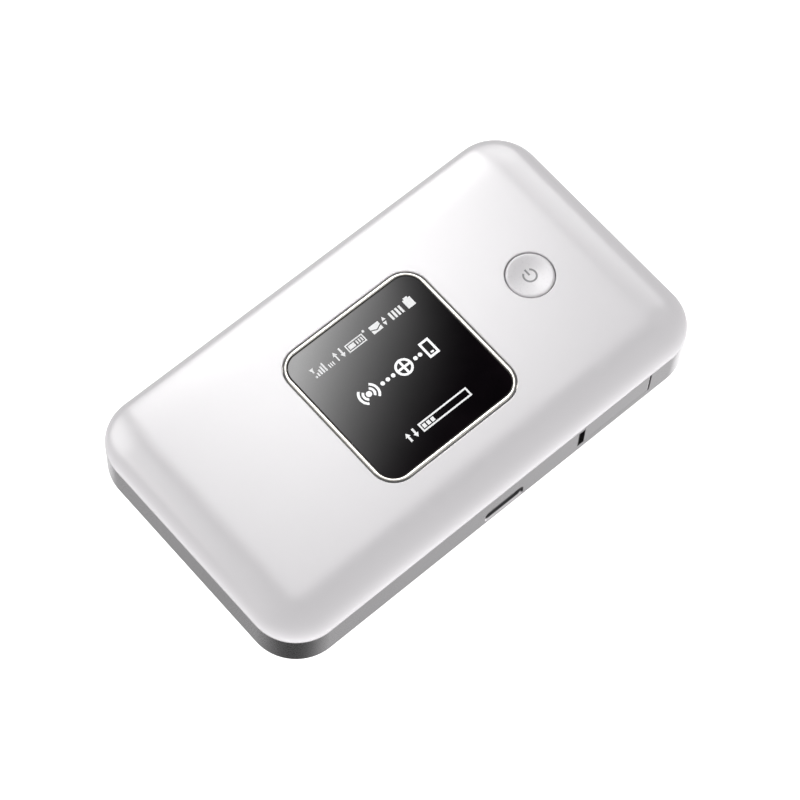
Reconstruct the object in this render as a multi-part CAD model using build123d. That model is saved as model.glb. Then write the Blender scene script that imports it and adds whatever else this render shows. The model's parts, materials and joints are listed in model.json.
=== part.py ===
from build123d import *
from math import radians, sin, cos
import os

# A pocket mobile hotspot. Lengths are in millimetres. X runs along the case, towards the
# power button, Y across it and Z up through its face. The origin is under the middle of
# the case, on the surface that it lies on.

# Case
LENGTH = 108.0
WIDTH = 61.6
THICKNESS = 15.5
CORNER = 10.0
BACK_RISE = 3.5
FRONT_RISE = 3.1
EDGE_RUN = 9.5
BAND_LOW = BACK_RISE
SEAM = THICKNESS - FRONT_RISE
HALF_L = LENGTH / 2
HALF_W = WIDTH / 2
FLAT_TRIM = 0.03
BAND_FOOT_RADIUS = 0.5
BAND_TOP_CHAMFER = 0.12

# Walls
BAND_WALL = 1.5
COVER_WALL = 1.2
LIP_GAP = 0.15
LIP_OUT = BAND_WALL + LIP_GAP
LIP_WALL = 1.0
LIP_DEPTH = 1.2
BACK_INSET = 0.3
TAB_HEIGHT = 1.5
TAB_ROOT = 1.3
TAB_THICK = 1.0
TAB_LENGTH = 9.0
TAB_SPOTS_X = (-36.0, 14.0, 40.0)
TAB_SPOTS_Y = (-12.0, 12.0)
SCOOP_RADIUS = 0.9
SCOOP_LENGTH = 12.0

# Display window
WINDOW_HALF = 16.7
WINDOW_CORNER = 3.85
BEZEL_WALL = 0.95
BEZEL_CORNER = 5.2
BEZEL_GAP = 0.1
BEZEL_CHAMFER = 0.15
BEZEL_SINK = 1.8
FLANGE_OUT = 1.2
FLANGE_HEIGHT = 0.5
LEDGE_IN = 1.4
LEDGE_CORNER = 0.8
LENS_HIGH = THICKNESS - 0.15
LENS_LOW = THICKNESS - 1.1
LENS_GAP = 0.05
LENS_ROUND = 0.12
GLUE = 0.1

# Display module, under the window
PANEL_HALF = 14.85
PANEL_LOW = 12.9
PANEL_HIGH = 14.1
LIGHT_LOW = 11.65
LIGHT_HIGH = 12.85
TRAY_HALF = 15.8
TRAY_LOW = 11.3
TRAY_HIGH = 13.5
TRAY_FLOOR = 0.3
TRAY_POCKET = 15.0
FLEX_WIDTH = 10.0
FLEX_THICK = 0.15
FLEX_REACH = 17.5
FLEX_TAIL = 15.4
LCD_PLUG_HALF = 6.2
LCD_PLUG_Y = (15.0, 18.0)
LCD_PLUG_HEIGHT = 1.0
CUSHION_HALF = 11.0

# Main board
BOARD_LOW = 7.8
BOARD_HIGH = 8.6
BOARD_INSET = 2.4
WEB_LOW = 7.0
WEB_HIGH = 7.6
CAN_WALL = 0.2
CAN_CORNER = 0.5

# Power button, pressed down
POWER_X = 34.1
POWER_RADIUS = 4.98
POWER_GAP = 0.17
POWER_HIGH = 15.4
POWER_ROUND = 0.3
POWER_FLANGE_RADIUS = 5.9
POWER_FLANGE_LOW = 13.5
POWER_FLANGE_HIGH = 14.0
POWER_STEM_RADIUS = 1.5
POWER_STEM_LOW = 10.75
SYMBOL_RADIUS = 1.3
SYMBOL_LINE = 0.36
SYMBOL_DEPTH = 0.15
SYMBOL_BAR = 1.5
SYMBOL_TOP = 1.6
SYMBOL_GAP_ANGLE = 35.0
SWITCH_SIZE = 4.4
SWITCH_HEIGHT = 1.5
SWITCH_CHAMFER = 0.4
PLUNGER_RADIUS = 1.05
PLUNGER_GAP = 0.1

# Menu key, pressed inwards from the end of the case
MENU_Y = 8.0
MENU_Z = 8.9
MENU_LENGTH = 9.0
MENU_HEIGHT = 2.2
MENU_GAP = 0.12
MENU_FLANGE = 0.6
MENU_FLANGE_OUT = HALF_L - BAND_WALL - 0.1
MENU_FLANGE_IN = MENU_FLANGE_OUT - 0.5
MENU_POST_IN = 51.35
MENU_SWITCH_IN = 48.0
MENU_SWITCH_OUT = 50.3
MENU_PLUNGER_IN = 49.8
MENU_SWITCH_HALF = 1.8
MENU_SWITCH_HEIGHT = 1.7
MENU_POST_HALF = 0.8
MENU_POST_LOW = BOARD_HIGH + 0.35
MENU_POST_HIGH = BOARD_HIGH + 1.25
MENU_ROUND = 0.2

# Reset button, in the back
RESET_X = -42.0
RESET_Y = 16.0
RESET_RADIUS = 0.75
RESET_LOW = 6.0
RESET_SWITCH_LOW = 6.5
RESET_SWITCH_SIZE = 4.0
RESET_WELL = 0.9
RESET_TRAVEL_ROOM = 0.35

# USB socket
USB_X = 0.3
USB_Z = 6.5
USB_WIDTH = 7.5
USB_HEIGHT = 2.5
USB_WALL = 0.3
USB_FRONT = -30.1
USB_BACK = -24.6
USB_HOLE_WIDTH = 9.2
USB_HOLE_HEIGHT = 3.2
USB_HOLE_Z = 6.3
USB_HOLE_CORNER = 1.0
USB_CHAMFER = 0.35
USB_CORNER_CUT = 0.8
USB_TONGUE_HALF = 1.85
USB_TONGUE_LOW = USB_Z + 0.1
USB_TONGUE_HIGH = USB_Z + 0.65
USB_PIN_COUNT = 5
USB_PIN_PITCH = 0.65
USB_PIN_HALF = 0.18
USB_PIN_LOW = USB_Z + 0.02

# Antenna flap, its pin and the sockets behind it
FLAP_LEFT = 21.2
FLAP_LOW = 5.9
FLAP_THICK = 1.2
FLAP_GAP = 0.1
FLAP_PIVOT_X = 38.1
FLAP_PIVOT_Y = -HALF_W + FLAP_THICK / 2
PIN_RADIUS = 0.3
PIN_BORE = 0.36
PIN_LOW = 5.2
PIN_HIGH = 12.9
NAIL_LEFT = 19.5
NAIL_LOW = 5.85
NAIL_HIGH = 11.5
SOCKET_SPOTS = (25.0, 32.4)
SOCKET_Z = 8.7
SOCKET_RADIUS = 1.8
SOCKET_BORE = 1.35
SOCKET_BORE_DEPTH = 3.2
SOCKET_FRONT = -29.3
SOCKET_BODY_FRONT = -28.2
SOCKET_BODY_BACK = -23.6
SOCKET_BODY = 4.2
BAY_FRONT = -29.25
BAY_BACK = -28.5
BAY_LEFT = 18.6
BAY_RIGHT = 36.3
BAY_LOW = 5.2
BAY_HIGH = 11.1
LINER_WALL = 0.25
LINER_GAP = 0.02

# Battery and its bay, open towards the back
BATTERY_LEFT = -19.5
BATTERY_RIGHT = 46.5
BATTERY_HALF = 23.0
BATTERY_LOW = 1.55
BATTERY_HIGH = 6.85
BATTERY_CAP = 3.0
BATTERY_CORNER = 1.0
BAY_GAP = 0.4
RIB_WALL = 1.0
RIB_LOW = 2.0
CONTACT_Y = 15.5
CONTACT_PITCH = 2.2
CONTACT_COUNT = 4
CONTACT_WIDTH = 1.2
CONTACT_THICK = 0.2
CONTACT_LOW = 3.0
CONTACT_HIGH = 5.6
CONNECTOR_LENGTH = 9.6
CONNECTOR_LEFT = -24.4
CONNECTOR_RIGHT = -21.3
CONNECTOR_LOW = 2.6
SPRING_WIDTH = 0.8
SPRING_REACH = 0.25
SPRING_BACK = CONNECTOR_RIGHT - 1.0
SPRING_FRONT = CONNECTOR_RIGHT - 0.7
SPRING_STRIP_Z = (3.2, 6.4)
SPRING_NOSE_Z = (4.0, 4.3)
SPRING_ROOM = 0.05

# SIM card and socket
SIM_LEFT = -39.5
SIM_RIGHT = -24.5
SIM_Y = -0.7
SIM_WIDTH = 12.0
SIM_LOW = 6.65
SIM_HIGH = 7.41
SIM_CUT = 2.5
SIM_SOCKET_LEFT = -37.5
SIM_SOCKET_RIGHT = -24.0
SIM_SOCKET_WIDTH = 14.4
SIM_SOCKET_LOW = 6.3
SIM_BAY_LEFT = -51.9
SIM_WINDOW_INSET = 3.0
SIM_WINDOW_HALF = 4.0
SIM_PAD_X = 2.9
SIM_PAD_PITCH = 2.54
SIM_PAD_HALF = (1.4, 1.05)
SIM_PAD_THICK = 0.1

# Screws, driven from the back
SCREW_SPOTS = [(x, y) for x in (-49.0, 49.0) for y in (-23.6, 23.6)]
SCREW_SPOTS += [(-24.0, y) for y in (-26.0, 26.0)]
SCREW_SHANK = 0.7
SCREW_HEAD = 1.35
SCREW_HEAD_LOW = 5.1
SCREW_SEAT = 6.0
SCREW_TIP = 11.8
BOSS_RADIUS = 1.9
BOSS_LOW = 4.6
RECESS_DEPTH = 0.5
RECESS_ARM = 0.3
RECESS_REACH = 0.8
SHANK_GAP = 0.05

# Shielding cans: left, right, front and rear edges, and height above or below the board
MODEM_CAN = (-14.0, 14.0, -13.0, 13.0)
WIFI_CAN = (-44.0, -22.0, -12.0, 14.0)
POWER_CAN = (18.5, 29.5, -18.0, 14.0)
RF_CAN = (-45.5, -26.5, -22.5, -10.5)
MODEM_CAN_HEIGHT = 2.3
WIFI_CAN_HEIGHT = 2.0
POWER_CAN_HEIGHT = 2.0
RF_CAN_HEIGHT = 2.2

# Chips: middle in X and Y, then their two sides
MODEM_CHIP = (-4.0, 3.0, 13.0, 13.0)
MEMORY_CHIP = (8.5, -5.0, 8.0, 9.0)
WIFI_CHIP = (-34.0, 2.0, 9.0, 9.0)
POWER_CHIP = (24.0, -4.0, 6.0, 6.0)
RF_CHIP = (-38.0, -17.0, 7.0, 6.0)
CHIP_THICK = 1.0
CHIP_CHAMFER = 0.2

# Antenna foils, standing on edge inside the band
FOIL_LOW = 8.8
FOIL_HEIGHT = 3.6
FOIL_THICK = 0.25
FOIL_SLOT = 0.6
FOIL_SLOT_DEPTH = 0.7
MAIN_FOIL_X = -50.8
DIVERSITY_FOIL_X = 51.2
DIVERSITY_FOIL_Y = -10.0
WIFI_FOIL_X = -2.0
WIFI_FOIL_Y = 27.6


def block(x_range, y_range, z_range):
    """A box between two corners."""
    size = [high - low for low, high in (x_range, y_range, z_range)]
    middle = [(high + low) / 2 for low, high in (x_range, y_range, z_range)]
    return Pos(*middle) * Box(*size)


def post(x, y, radius, low, high):
    """An upright round rod."""
    return Pos(x, y, low) * extrude(Circle(radius), high - low)


def together(pieces):
    """Several separate solids as one group."""
    group = pieces[0]
    for piece in pieces[1:]:
        group = group + piece
    return group


def plan_slab(inset, low, high):
    """The case's plan outline, drawn in by inset, as a flat slab."""
    outline = RectangleRounded(LENGTH - 2 * inset, WIDTH - 2 * inset, CORNER - inset)
    return Pos(0, 0, low) * extrude(outline, high - low)


def pillow(inset, rise, base):
    """A plan slab whose upper edge rolls over as a quarter ellipse to a flat top."""
    run = min(EDGE_RUN, CORNER - inset - 0.3)
    solid = plan_slab(inset, 0, run)
    top_edges = solid.faces().sort_by(Axis.Z)[-1].edges()
    solid = fillet(top_edges, run * 0.999)
    solid = scale(solid, by=(1, 1, (rise + FLAT_TRIM) / run))
    solid -= block((-LENGTH, LENGTH), (-WIDTH, WIDTH), (rise, rise + THICKNESS))
    return Pos(0, 0, base) * solid


def square_slab(half, corner, low, high):
    """A square plate with round corners, centred on the window."""
    return Pos(0, 0, low) * extrude(RectangleRounded(2 * half, 2 * half, corner), high - low)


def upright_plate(x, z, width, height, corner, y_low, y_high):
    """A round-cornered plate standing in the X-Z plane."""
    plane = Plane(origin=(x, y_high, z), x_dir=(1, 0, 0), z_dir=(0, -1, 0))
    return plane * extrude(RectangleRounded(width, height, corner), y_high - y_low)


def front_cover():
    """Crowned front shell with a locating lip, screw bosses and two openings."""
    inner = LIP_OUT + LIP_WALL
    shell = pillow(0, FRONT_RISE, SEAM)
    shell += plan_slab(LIP_OUT, SEAM - LIP_DEPTH, SEAM)
    shell -= pillow(inner, FRONT_RISE - COVER_WALL, SEAM)
    shell -= plan_slab(inner, SEAM - LIP_DEPTH, SEAM)
    for x, y in SCREW_SPOTS:
        shell += post(x, y, BOSS_RADIUS, BOARD_HIGH, THICKNESS - COVER_WALL + 0.1)
        shell -= post(x, y, SCREW_SHANK + SHANK_GAP, BOARD_HIGH, SEAM)
    opening = WINDOW_HALF + BEZEL_WALL + BEZEL_GAP
    shell -= square_slab(opening, BEZEL_CORNER + BEZEL_GAP, SEAM, THICKNESS + 1)
    shell -= post(POWER_X, 0, POWER_RADIUS + POWER_GAP, SEAM, THICKNESS + 1)
    shell -= post(FLAP_PIVOT_X, FLAP_PIVOT_Y, PIN_RADIUS + 0.02, SEAM, PIN_HIGH + 0.1)
    return shell


def battery_ribs():
    """Walls of the battery bay."""
    x_range = (BATTERY_LEFT - BAY_GAP, BATTERY_RIGHT + BAY_GAP)
    y_range = (-BATTERY_HALF - BAY_GAP, BATTERY_HALF + BAY_GAP)
    outer_x = (x_range[0] - RIB_WALL, x_range[1] + RIB_WALL)
    outer_y = (y_range[0] - RIB_WALL, y_range[1] + RIB_WALL)
    ribs = block(outer_x, outer_y, (RIB_LOW, WEB_LOW + 0.1))
    return ribs - block(x_range, y_range, (RIB_LOW, WEB_LOW + 0.1))


def flap_opening():
    """What the flap, its hinge and the nail slot leave out of the band."""
    right = FLAP_PIVOT_X + FLAP_THICK / 2 + FLAP_GAP
    y_range = (-HALF_W - 1, -HALF_W + BAND_WALL + 0.1)
    opening = block((FLAP_LEFT - FLAP_GAP, right), y_range, (FLAP_LOW - FLAP_GAP, SEAM + 1))
    return opening + block((NAIL_LEFT, FLAP_LEFT), y_range, (NAIL_LOW, NAIL_HIGH))


def usb_hole():
    """The USB cut-out with its flared mouth."""
    outer = -HALF_W
    size = (USB_HOLE_WIDTH, USB_HOLE_HEIGHT)
    hole = upright_plate(USB_X, USB_HOLE_Z, *size, USB_HOLE_CORNER, outer - 1, outer + 2)
    flare_face = Plane(origin=(USB_X, outer, USB_HOLE_Z), x_dir=(1, 0, 0), z_dir=(0, -1, 0))
    wide_size = [side + 2 * USB_CHAMFER for side in size]
    wide = RectangleRounded(*wide_size, USB_HOLE_CORNER + USB_CHAMFER)
    narrow = RectangleRounded(*size, USB_HOLE_CORNER)
    flare = loft([flare_face * wide, flare_face.offset(-USB_CHAMFER) * narrow])
    return hole + flare


def mid_frame():
    """The silver band, the web that carries the board, and the battery bay."""
    band = plan_slab(0, BAND_LOW, SEAM)
    band = fillet(band.faces().sort_by(Axis.Z)[0].edges(), BAND_FOOT_RADIUS)
    band = chamfer(band.faces().sort_by(Axis.Z)[-1].edges(), BAND_TOP_CHAMFER)
    frame = band - plan_slab(BAND_WALL, BAND_LOW - 1, SEAM + 1)
    frame += plan_slab(BAND_WALL - 0.1, WEB_LOW, WEB_HIGH)
    frame += battery_ribs()
    for x, y in SCREW_SPOTS:
        frame += post(x, y, BOSS_RADIUS, BOSS_LOW, BOARD_LOW)
    for x, y in SCREW_SPOTS:
        frame -= post(x, y, SCREW_HEAD + 0.15, BOSS_LOW - 3, SCREW_SEAT)
        frame -= post(x, y, SCREW_SHANK + 0.1, SCREW_SEAT, BOARD_LOW)
    through = (RIB_LOW, BOARD_LOW)
    web = (WEB_LOW - 0.1, BOARD_LOW)
    connector_half = CONNECTOR_LENGTH / 2 + 0.3
    connector_y = (CONTACT_Y - connector_half, CONTACT_Y + connector_half)
    frame -= block((CONNECTOR_LEFT - 0.3, BATTERY_LEFT - BAY_GAP), connector_y, through)
    sim_half = SIM_SOCKET_WIDTH / 2 + 0.3
    sim_y = (SIM_Y - sim_half, SIM_Y + sim_half)
    frame -= block((SIM_BAY_LEFT, SIM_SOCKET_RIGHT + 0.3), sim_y, web)
    reset_half = RESET_SWITCH_SIZE / 2 + 0.2
    reset_x = (RESET_X - reset_half, RESET_X + reset_half)
    reset_y = (RESET_Y - reset_half, RESET_Y + reset_half)
    frame -= block(reset_x, reset_y, web)
    left, right, front, rear = RF_CAN
    frame -= block((left - 0.3, right + 0.3), (front - 0.3, rear + 0.3), web)
    usb_half = USB_WIDTH / 2 + 0.4
    frame -= block((USB_X - usb_half, USB_X + usb_half), (-HALF_W + 1.0, USB_BACK + 0.4), web)
    bay_y = (BAY_FRONT - 0.1, SOCKET_BODY_BACK + 0.3)
    socket_x = (SOCKET_SPOTS[0] - 2.5, SOCKET_SPOTS[-1] + 2.5)
    frame -= block(socket_x, bay_y, web)
    frame -= block((BAY_LEFT - 0.2, BAY_RIGHT + 0.2), (BAY_FRONT - 0.1, BAY_BACK + 0.2), web)
    frame -= usb_hole()
    frame -= flap_opening()
    frame -= post(FLAP_PIVOT_X, FLAP_PIVOT_Y, PIN_RADIUS + 0.02, PIN_LOW, FLAP_LOW)
    key_half = MENU_LENGTH / 2 + 1.0
    key_y = (MENU_Y - key_half, MENU_Y + key_half)
    frame -= block((MENU_POST_IN - 0.5, HALF_L - BAND_WALL), key_y, web)
    frame -= menu_plate(MENU_GAP, (HALF_L - 3, HALF_L + 1))
    return frame


def menu_plate(grow, x_range):
    """The menu key's round-ended outline, as a plate across X."""
    plane = Plane(origin=(x_range[0], MENU_Y, MENU_Z), x_dir=(0, 1, 0), z_dir=(1, 0, 0))
    length = MENU_LENGTH + 2 * grow
    height = MENU_HEIGHT + 2 * grow
    return plane * extrude(RectangleRounded(length, height, height / 2 - 0.01), x_range[1] - x_range[0])


def back_cover():
    """Removable rear shell, with tabs that reach inside the band."""
    inner = BACK_INSET + COVER_WALL
    outside = pillow(BACK_INSET, BACK_RISE, 0)
    inside = pillow(inner, BACK_RISE - COVER_WALL, 0)
    shell = Pos(0, 0, BAND_LOW) * mirror(outside - inside, about=Plane.XY)
    tab_z = (BAND_LOW - TAB_ROOT, BAND_LOW + TAB_HEIGHT)
    for side in (-1, 1):
        tab_y = sorted((side * (HALF_W - LIP_OUT), side * (HALF_W - LIP_OUT - TAB_THICK)))
        for x in TAB_SPOTS_X:
            shell += block((x - TAB_LENGTH / 2, x + TAB_LENGTH / 2), tab_y, tab_z)
        tab_x = sorted((side * (HALF_L - LIP_OUT), side * (HALF_L - LIP_OUT - TAB_THICK)))
        for y in TAB_SPOTS_Y:
            shell += block(tab_x, (y - TAB_LENGTH / 2, y + TAB_LENGTH / 2), tab_z)
    return shell - Pos(0, HALF_W, BAND_LOW) * Rot(0, 90, 0) * Cylinder(SCOOP_RADIUS, SCOOP_LENGTH)


def display_bezel():
    """Bright square ring, with a flange glued under the cover and a ledge for the lens."""
    outer = WINDOW_HALF + BEZEL_WALL
    low = THICKNESS - BEZEL_SINK
    ring = square_slab(outer, BEZEL_CORNER, low, THICKNESS)
    ring = chamfer(ring.faces().sort_by(Axis.Z)[-1].edges(), BEZEL_CHAMFER)
    ring += square_slab(outer + FLANGE_OUT, BEZEL_CORNER, low, low + FLANGE_HEIGHT)
    ring -= square_slab(WINDOW_HALF, WINDOW_CORNER, LENS_LOW - GLUE, THICKNESS + 1)
    return ring - square_slab(WINDOW_HALF - LEDGE_IN, LEDGE_CORNER, low - 1, THICKNESS)


def display_window():
    lens = square_slab(WINDOW_HALF - LENS_GAP, WINDOW_CORNER - LENS_GAP, LENS_LOW, LENS_HIGH)
    return fillet(lens.faces().sort_by(Axis.Z)[-1].edges(), LENS_ROUND)


def window_adhesive():
    low = LENS_LOW - GLUE
    ring = square_slab(WINDOW_HALF - 0.2, WINDOW_CORNER - 0.2, low, LENS_LOW)
    return ring - square_slab(WINDOW_HALF - LEDGE_IN + 0.1, LEDGE_CORNER, low, LENS_LOW)


def lcd_panel():
    return square_slab(PANEL_HALF, 0.4, PANEL_LOW, PANEL_HIGH)


def lcd_backlight():
    return square_slab(PANEL_HALF, 0.4, LIGHT_LOW, LIGHT_HIGH)


def lcd_frame():
    """Tray that holds the panel and backlight, notched for the flex."""
    tray = square_slab(TRAY_HALF, 1.0, TRAY_LOW, TRAY_HIGH)
    tray -= square_slab(TRAY_POCKET, 0.5, TRAY_LOW + TRAY_FLOOR, TRAY_HIGH)
    notch = FLEX_WIDTH / 2 + 0.3
    notch_y = (TRAY_POCKET - 1, TRAY_HALF + 1)
    return tray - block((-notch, notch), notch_y, (LIGHT_HIGH - 0.1, TRAY_HIGH))


def lcd_flex():
    """Ribbon from the panel's edge down to its connector on the board."""
    x_range = (-FLEX_WIDTH / 2, FLEX_WIDTH / 2)
    top = PANEL_LOW + 0.05
    foot = BOARD_HIGH + LCD_PLUG_HEIGHT
    ribbon = block(x_range, (PANEL_HALF, FLEX_REACH), (top, top + FLEX_THICK))
    ribbon += block(x_range, (FLEX_REACH - FLEX_THICK, FLEX_REACH), (foot, top + FLEX_THICK))
    return ribbon + block(x_range, (FLEX_TAIL, FLEX_REACH), (foot, foot + FLEX_THICK))


def lcd_connector():
    x_range = (-LCD_PLUG_HALF, LCD_PLUG_HALF)
    return block(x_range, LCD_PLUG_Y, (BOARD_HIGH, BOARD_HIGH + LCD_PLUG_HEIGHT))


def lcd_cushion():
    """Foam pad between the modem's can and the display tray."""
    low = BOARD_HIGH + MODEM_CAN_HEIGHT
    side = (-CUSHION_HALF, CUSHION_HALF)
    return block(side, side, (low, TRAY_LOW))


def main_board():
    board = plan_slab(BOARD_INSET, BOARD_LOW, BOARD_HIGH)
    through = (BOARD_LOW - 1, BOARD_HIGH + 1)
    for x, y in SCREW_SPOTS:
        board -= post(x, y, SCREW_SHANK + 0.25, *through)
    for x in SOCKET_SPOTS:
        half = SOCKET_BODY / 2 + 0.15
        board -= block((x - half, x + half), (-HALF_W, SOCKET_BODY_BACK + 0.2), through)
    key_y = (MENU_Y - MENU_LENGTH / 2 - 1.2, MENU_Y + MENU_LENGTH / 2 + 1.2)
    return board - block((MENU_POST_IN - 0.5, HALF_L), key_y, through)


def shield_can(edges, height, below=False):
    """Folded steel can, open towards the board."""
    left, right, front, rear = edges
    low, high = (BOARD_LOW - height, BOARD_LOW) if below else (BOARD_HIGH, BOARD_HIGH + height)
    can = block((left, right), (front, rear), (low, high))
    can = fillet(can.edges().filter_by(Axis.Z), CAN_CORNER)
    room = (low + CAN_WALL, high) if below else (low, high - CAN_WALL)
    inner_x = (left + CAN_WALL, right - CAN_WALL)
    inner_y = (front + CAN_WALL, rear - CAN_WALL)
    return can - block(inner_x, inner_y, room)


def chip(place, below=False):
    """A moulded chip standing on the board, or hanging under it."""
    x, y, size_x, size_y = place
    low = BOARD_LOW - CHIP_THICK if below else BOARD_HIGH
    x_range = (x - size_x / 2, x + size_x / 2)
    y_range = (y - size_y / 2, y + size_y / 2)
    body = block(x_range, y_range, (low, low + CHIP_THICK))
    return chamfer(body.edges().filter_by(Axis.Z), CHIP_CHAMFER)


def antenna_foil(length, slots):
    """Flat foil standing on edge, slotted from its lower and upper edge in turn."""
    foil = block((-length / 2, length / 2), (0, FOIL_THICK), (0, FOIL_HEIGHT))
    step = length / (slots + 1)
    depth = FOIL_SLOT_DEPTH * FOIL_HEIGHT
    for number in range(slots):
        x = -length / 2 + step * (number + 1)
        z_range = (-1, depth) if number % 2 else (FOIL_HEIGHT - depth, FOIL_HEIGHT + 1)
        foil -= block((x - FOIL_SLOT / 2, x + FOIL_SLOT / 2), (-1, 1), z_range)
    return foil


def main_antenna():
    return Pos(MAIN_FOIL_X, 0, FOIL_LOW) * Rot(0, 0, 90) * antenna_foil(38.0, 7)


def diversity_antenna():
    place = Pos(DIVERSITY_FOIL_X, DIVERSITY_FOIL_Y, FOIL_LOW)
    return place * Rot(0, 0, 90) * antenna_foil(18.0, 3)


def wifi_antenna():
    return Pos(WIFI_FOIL_X, WIFI_FOIL_Y, FOIL_LOW) * antenna_foil(30.0, 5)


def power_switch():
    """Tact switch under the power button, with a well for its plunger."""
    half = SWITCH_SIZE / 2
    top = BOARD_HIGH + SWITCH_HEIGHT
    body = block((POWER_X - half, POWER_X + half), (-half, half), (BOARD_HIGH, top))
    body = chamfer(body.edges().filter_by(Axis.Z), SWITCH_CHAMFER)
    return body - post(POWER_X, 0, PLUNGER_RADIUS + PLUNGER_GAP, BOARD_HIGH + 0.5, top)


def power_switch_plunger():
    return post(POWER_X, 0, PLUNGER_RADIUS, BOARD_HIGH + 1.05, POWER_STEM_LOW)


def power_symbol_outline():
    """A ring open at the top with an upright bar in the gap."""
    ring = Circle(SYMBOL_RADIUS + SYMBOL_LINE / 2) - Circle(SYMBOL_RADIUS - SYMBOL_LINE / 2)
    reach = 2 * SYMBOL_RADIUS
    gap_x = reach * sin(radians(SYMBOL_GAP_ANGLE))
    gap_y = reach * cos(radians(SYMBOL_GAP_ANGLE))
    gap = make_face(Polyline((0, 0), (gap_x, gap_y), (-gap_x, gap_y), close=True))
    bar = Pos(0, SYMBOL_TOP - SYMBOL_BAR / 2) * Rectangle(SYMBOL_LINE, SYMBOL_BAR)
    return (ring - gap) + bar


def power_symbol():
    place = Pos(POWER_X, 0, POWER_HIGH - SYMBOL_DEPTH)
    return place * extrude(power_symbol_outline(), SYMBOL_DEPTH)


def power_button():
    cap = post(POWER_X, 0, POWER_RADIUS, POWER_FLANGE_LOW, POWER_HIGH)
    cap = fillet(cap.faces().sort_by(Axis.Z)[-1].edges(), POWER_ROUND)
    cap += post(POWER_X, 0, POWER_FLANGE_RADIUS, POWER_FLANGE_LOW, POWER_FLANGE_HIGH)
    cap += post(POWER_X, 0, POWER_STEM_RADIUS, POWER_STEM_LOW, POWER_FLANGE_LOW)
    return cap - power_symbol()


def menu_switch():
    """Side tact switch, with a slot for its plunger."""
    x_range = (MENU_SWITCH_IN, MENU_SWITCH_OUT)
    y_range = (MENU_Y - MENU_SWITCH_HALF, MENU_Y + MENU_SWITCH_HALF)
    body = block(x_range, y_range, (BOARD_HIGH, BOARD_HIGH + MENU_SWITCH_HEIGHT))
    slot_x = (MENU_PLUNGER_IN - MENU_GAP * 3, MENU_SWITCH_OUT)
    slot_half = MENU_POST_HALF + PLUNGER_GAP
    slot_z = (MENU_POST_LOW - PLUNGER_GAP, MENU_POST_HIGH + PLUNGER_GAP)
    return body - block(slot_x, (MENU_Y - slot_half, MENU_Y + slot_half), slot_z)


def menu_switch_plunger():
    y_range = (MENU_Y - MENU_POST_HALF, MENU_Y + MENU_POST_HALF)
    return block((MENU_PLUNGER_IN, MENU_POST_IN), y_range, (MENU_POST_LOW, MENU_POST_HIGH))


def menu_button():
    """Round-ended side key: a cap through the band, a flange and a post behind it."""
    cap = menu_plate(0, (MENU_FLANGE_OUT, HALF_L))
    cap = fillet(cap.faces().sort_by(Axis.X)[-1].edges(), MENU_ROUND)
    key = cap + menu_plate(MENU_FLANGE, (MENU_FLANGE_IN, MENU_FLANGE_OUT))
    post_y = (MENU_Y - MENU_POST_HALF, MENU_Y + MENU_POST_HALF)
    return key + block((MENU_POST_IN, MENU_FLANGE_IN), post_y, (MENU_POST_LOW, MENU_POST_HIGH))


def reset_switch():
    """Tact switch under the board; its plunger is the reset button."""
    half = RESET_SWITCH_SIZE / 2
    x_range = (RESET_X - half, RESET_X + half)
    y_range = (RESET_Y - half, RESET_Y + half)
    body = block(x_range, y_range, (RESET_SWITCH_LOW, BOARD_LOW))
    well = (RESET_SWITCH_LOW, RESET_SWITCH_LOW + RESET_WELL)
    return body - post(RESET_X, RESET_Y, RESET_RADIUS + PLUNGER_GAP, *well)


def reset_button():
    top = RESET_SWITCH_LOW + RESET_WELL - RESET_TRAVEL_ROOM
    return post(RESET_X, RESET_Y, RESET_RADIUS, RESET_LOW, top)


def usb_profile(shrink):
    """The socket's outline: a flat-topped shape with its lower corners cut off."""
    half = USB_WIDTH / 2 - shrink
    top = USB_HEIGHT / 2 - shrink
    cut = USB_CORNER_CUT - shrink / 2
    right = [(half, top), (half, cut - top), (half - cut, -top)]
    points = right + [(-x, y) for x, y in reversed(right)]
    plane = Plane(origin=(USB_X, USB_FRONT, USB_Z), x_dir=(1, 0, 0), z_dir=(0, -1, 0))
    return plane * make_face(Polyline(*points, close=True))


def usb_shell():
    depth = USB_BACK - USB_FRONT
    solid = extrude(usb_profile(0), -depth)
    return solid - extrude(usb_profile(USB_WALL), -(depth - USB_WALL))


def usb_tongue():
    x_range = (USB_X - USB_TONGUE_HALF, USB_X + USB_TONGUE_HALF)
    return block(x_range, (USB_FRONT + 0.6, USB_BACK - USB_WALL), (USB_TONGUE_LOW, USB_TONGUE_HIGH))


def usb_contacts():
    """Gold strips along the underside of the tongue."""
    y_range = (USB_FRONT + 0.8, USB_BACK - 1.0)
    z_range = (USB_PIN_LOW, USB_TONGUE_LOW)
    strips = []
    for number in range(USB_PIN_COUNT):
        x = USB_X + (number - (USB_PIN_COUNT - 1) / 2) * USB_PIN_PITCH
        strips.append(block((x - USB_PIN_HALF, x + USB_PIN_HALF), y_range, z_range))
    return together(strips)


def antenna_flap():
    """Flush door whose right end is a full round with the pin's bore through it."""
    y_range = (-HALF_W, -HALF_W + FLAP_THICK)
    z_range = (FLAP_LOW, SEAM - FLAP_GAP)
    door = block((FLAP_LEFT, FLAP_PIVOT_X), y_range, z_range)
    door += post(FLAP_PIVOT_X, FLAP_PIVOT_Y, FLAP_THICK / 2, *z_range)
    return door - post(FLAP_PIVOT_X, FLAP_PIVOT_Y, PIN_BORE, z_range[0] - 1, z_range[1] + 1)


def hinge_pin():
    return post(FLAP_PIVOT_X, FLAP_PIVOT_Y, PIN_RADIUS, PIN_LOW, PIN_HIGH)


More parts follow.
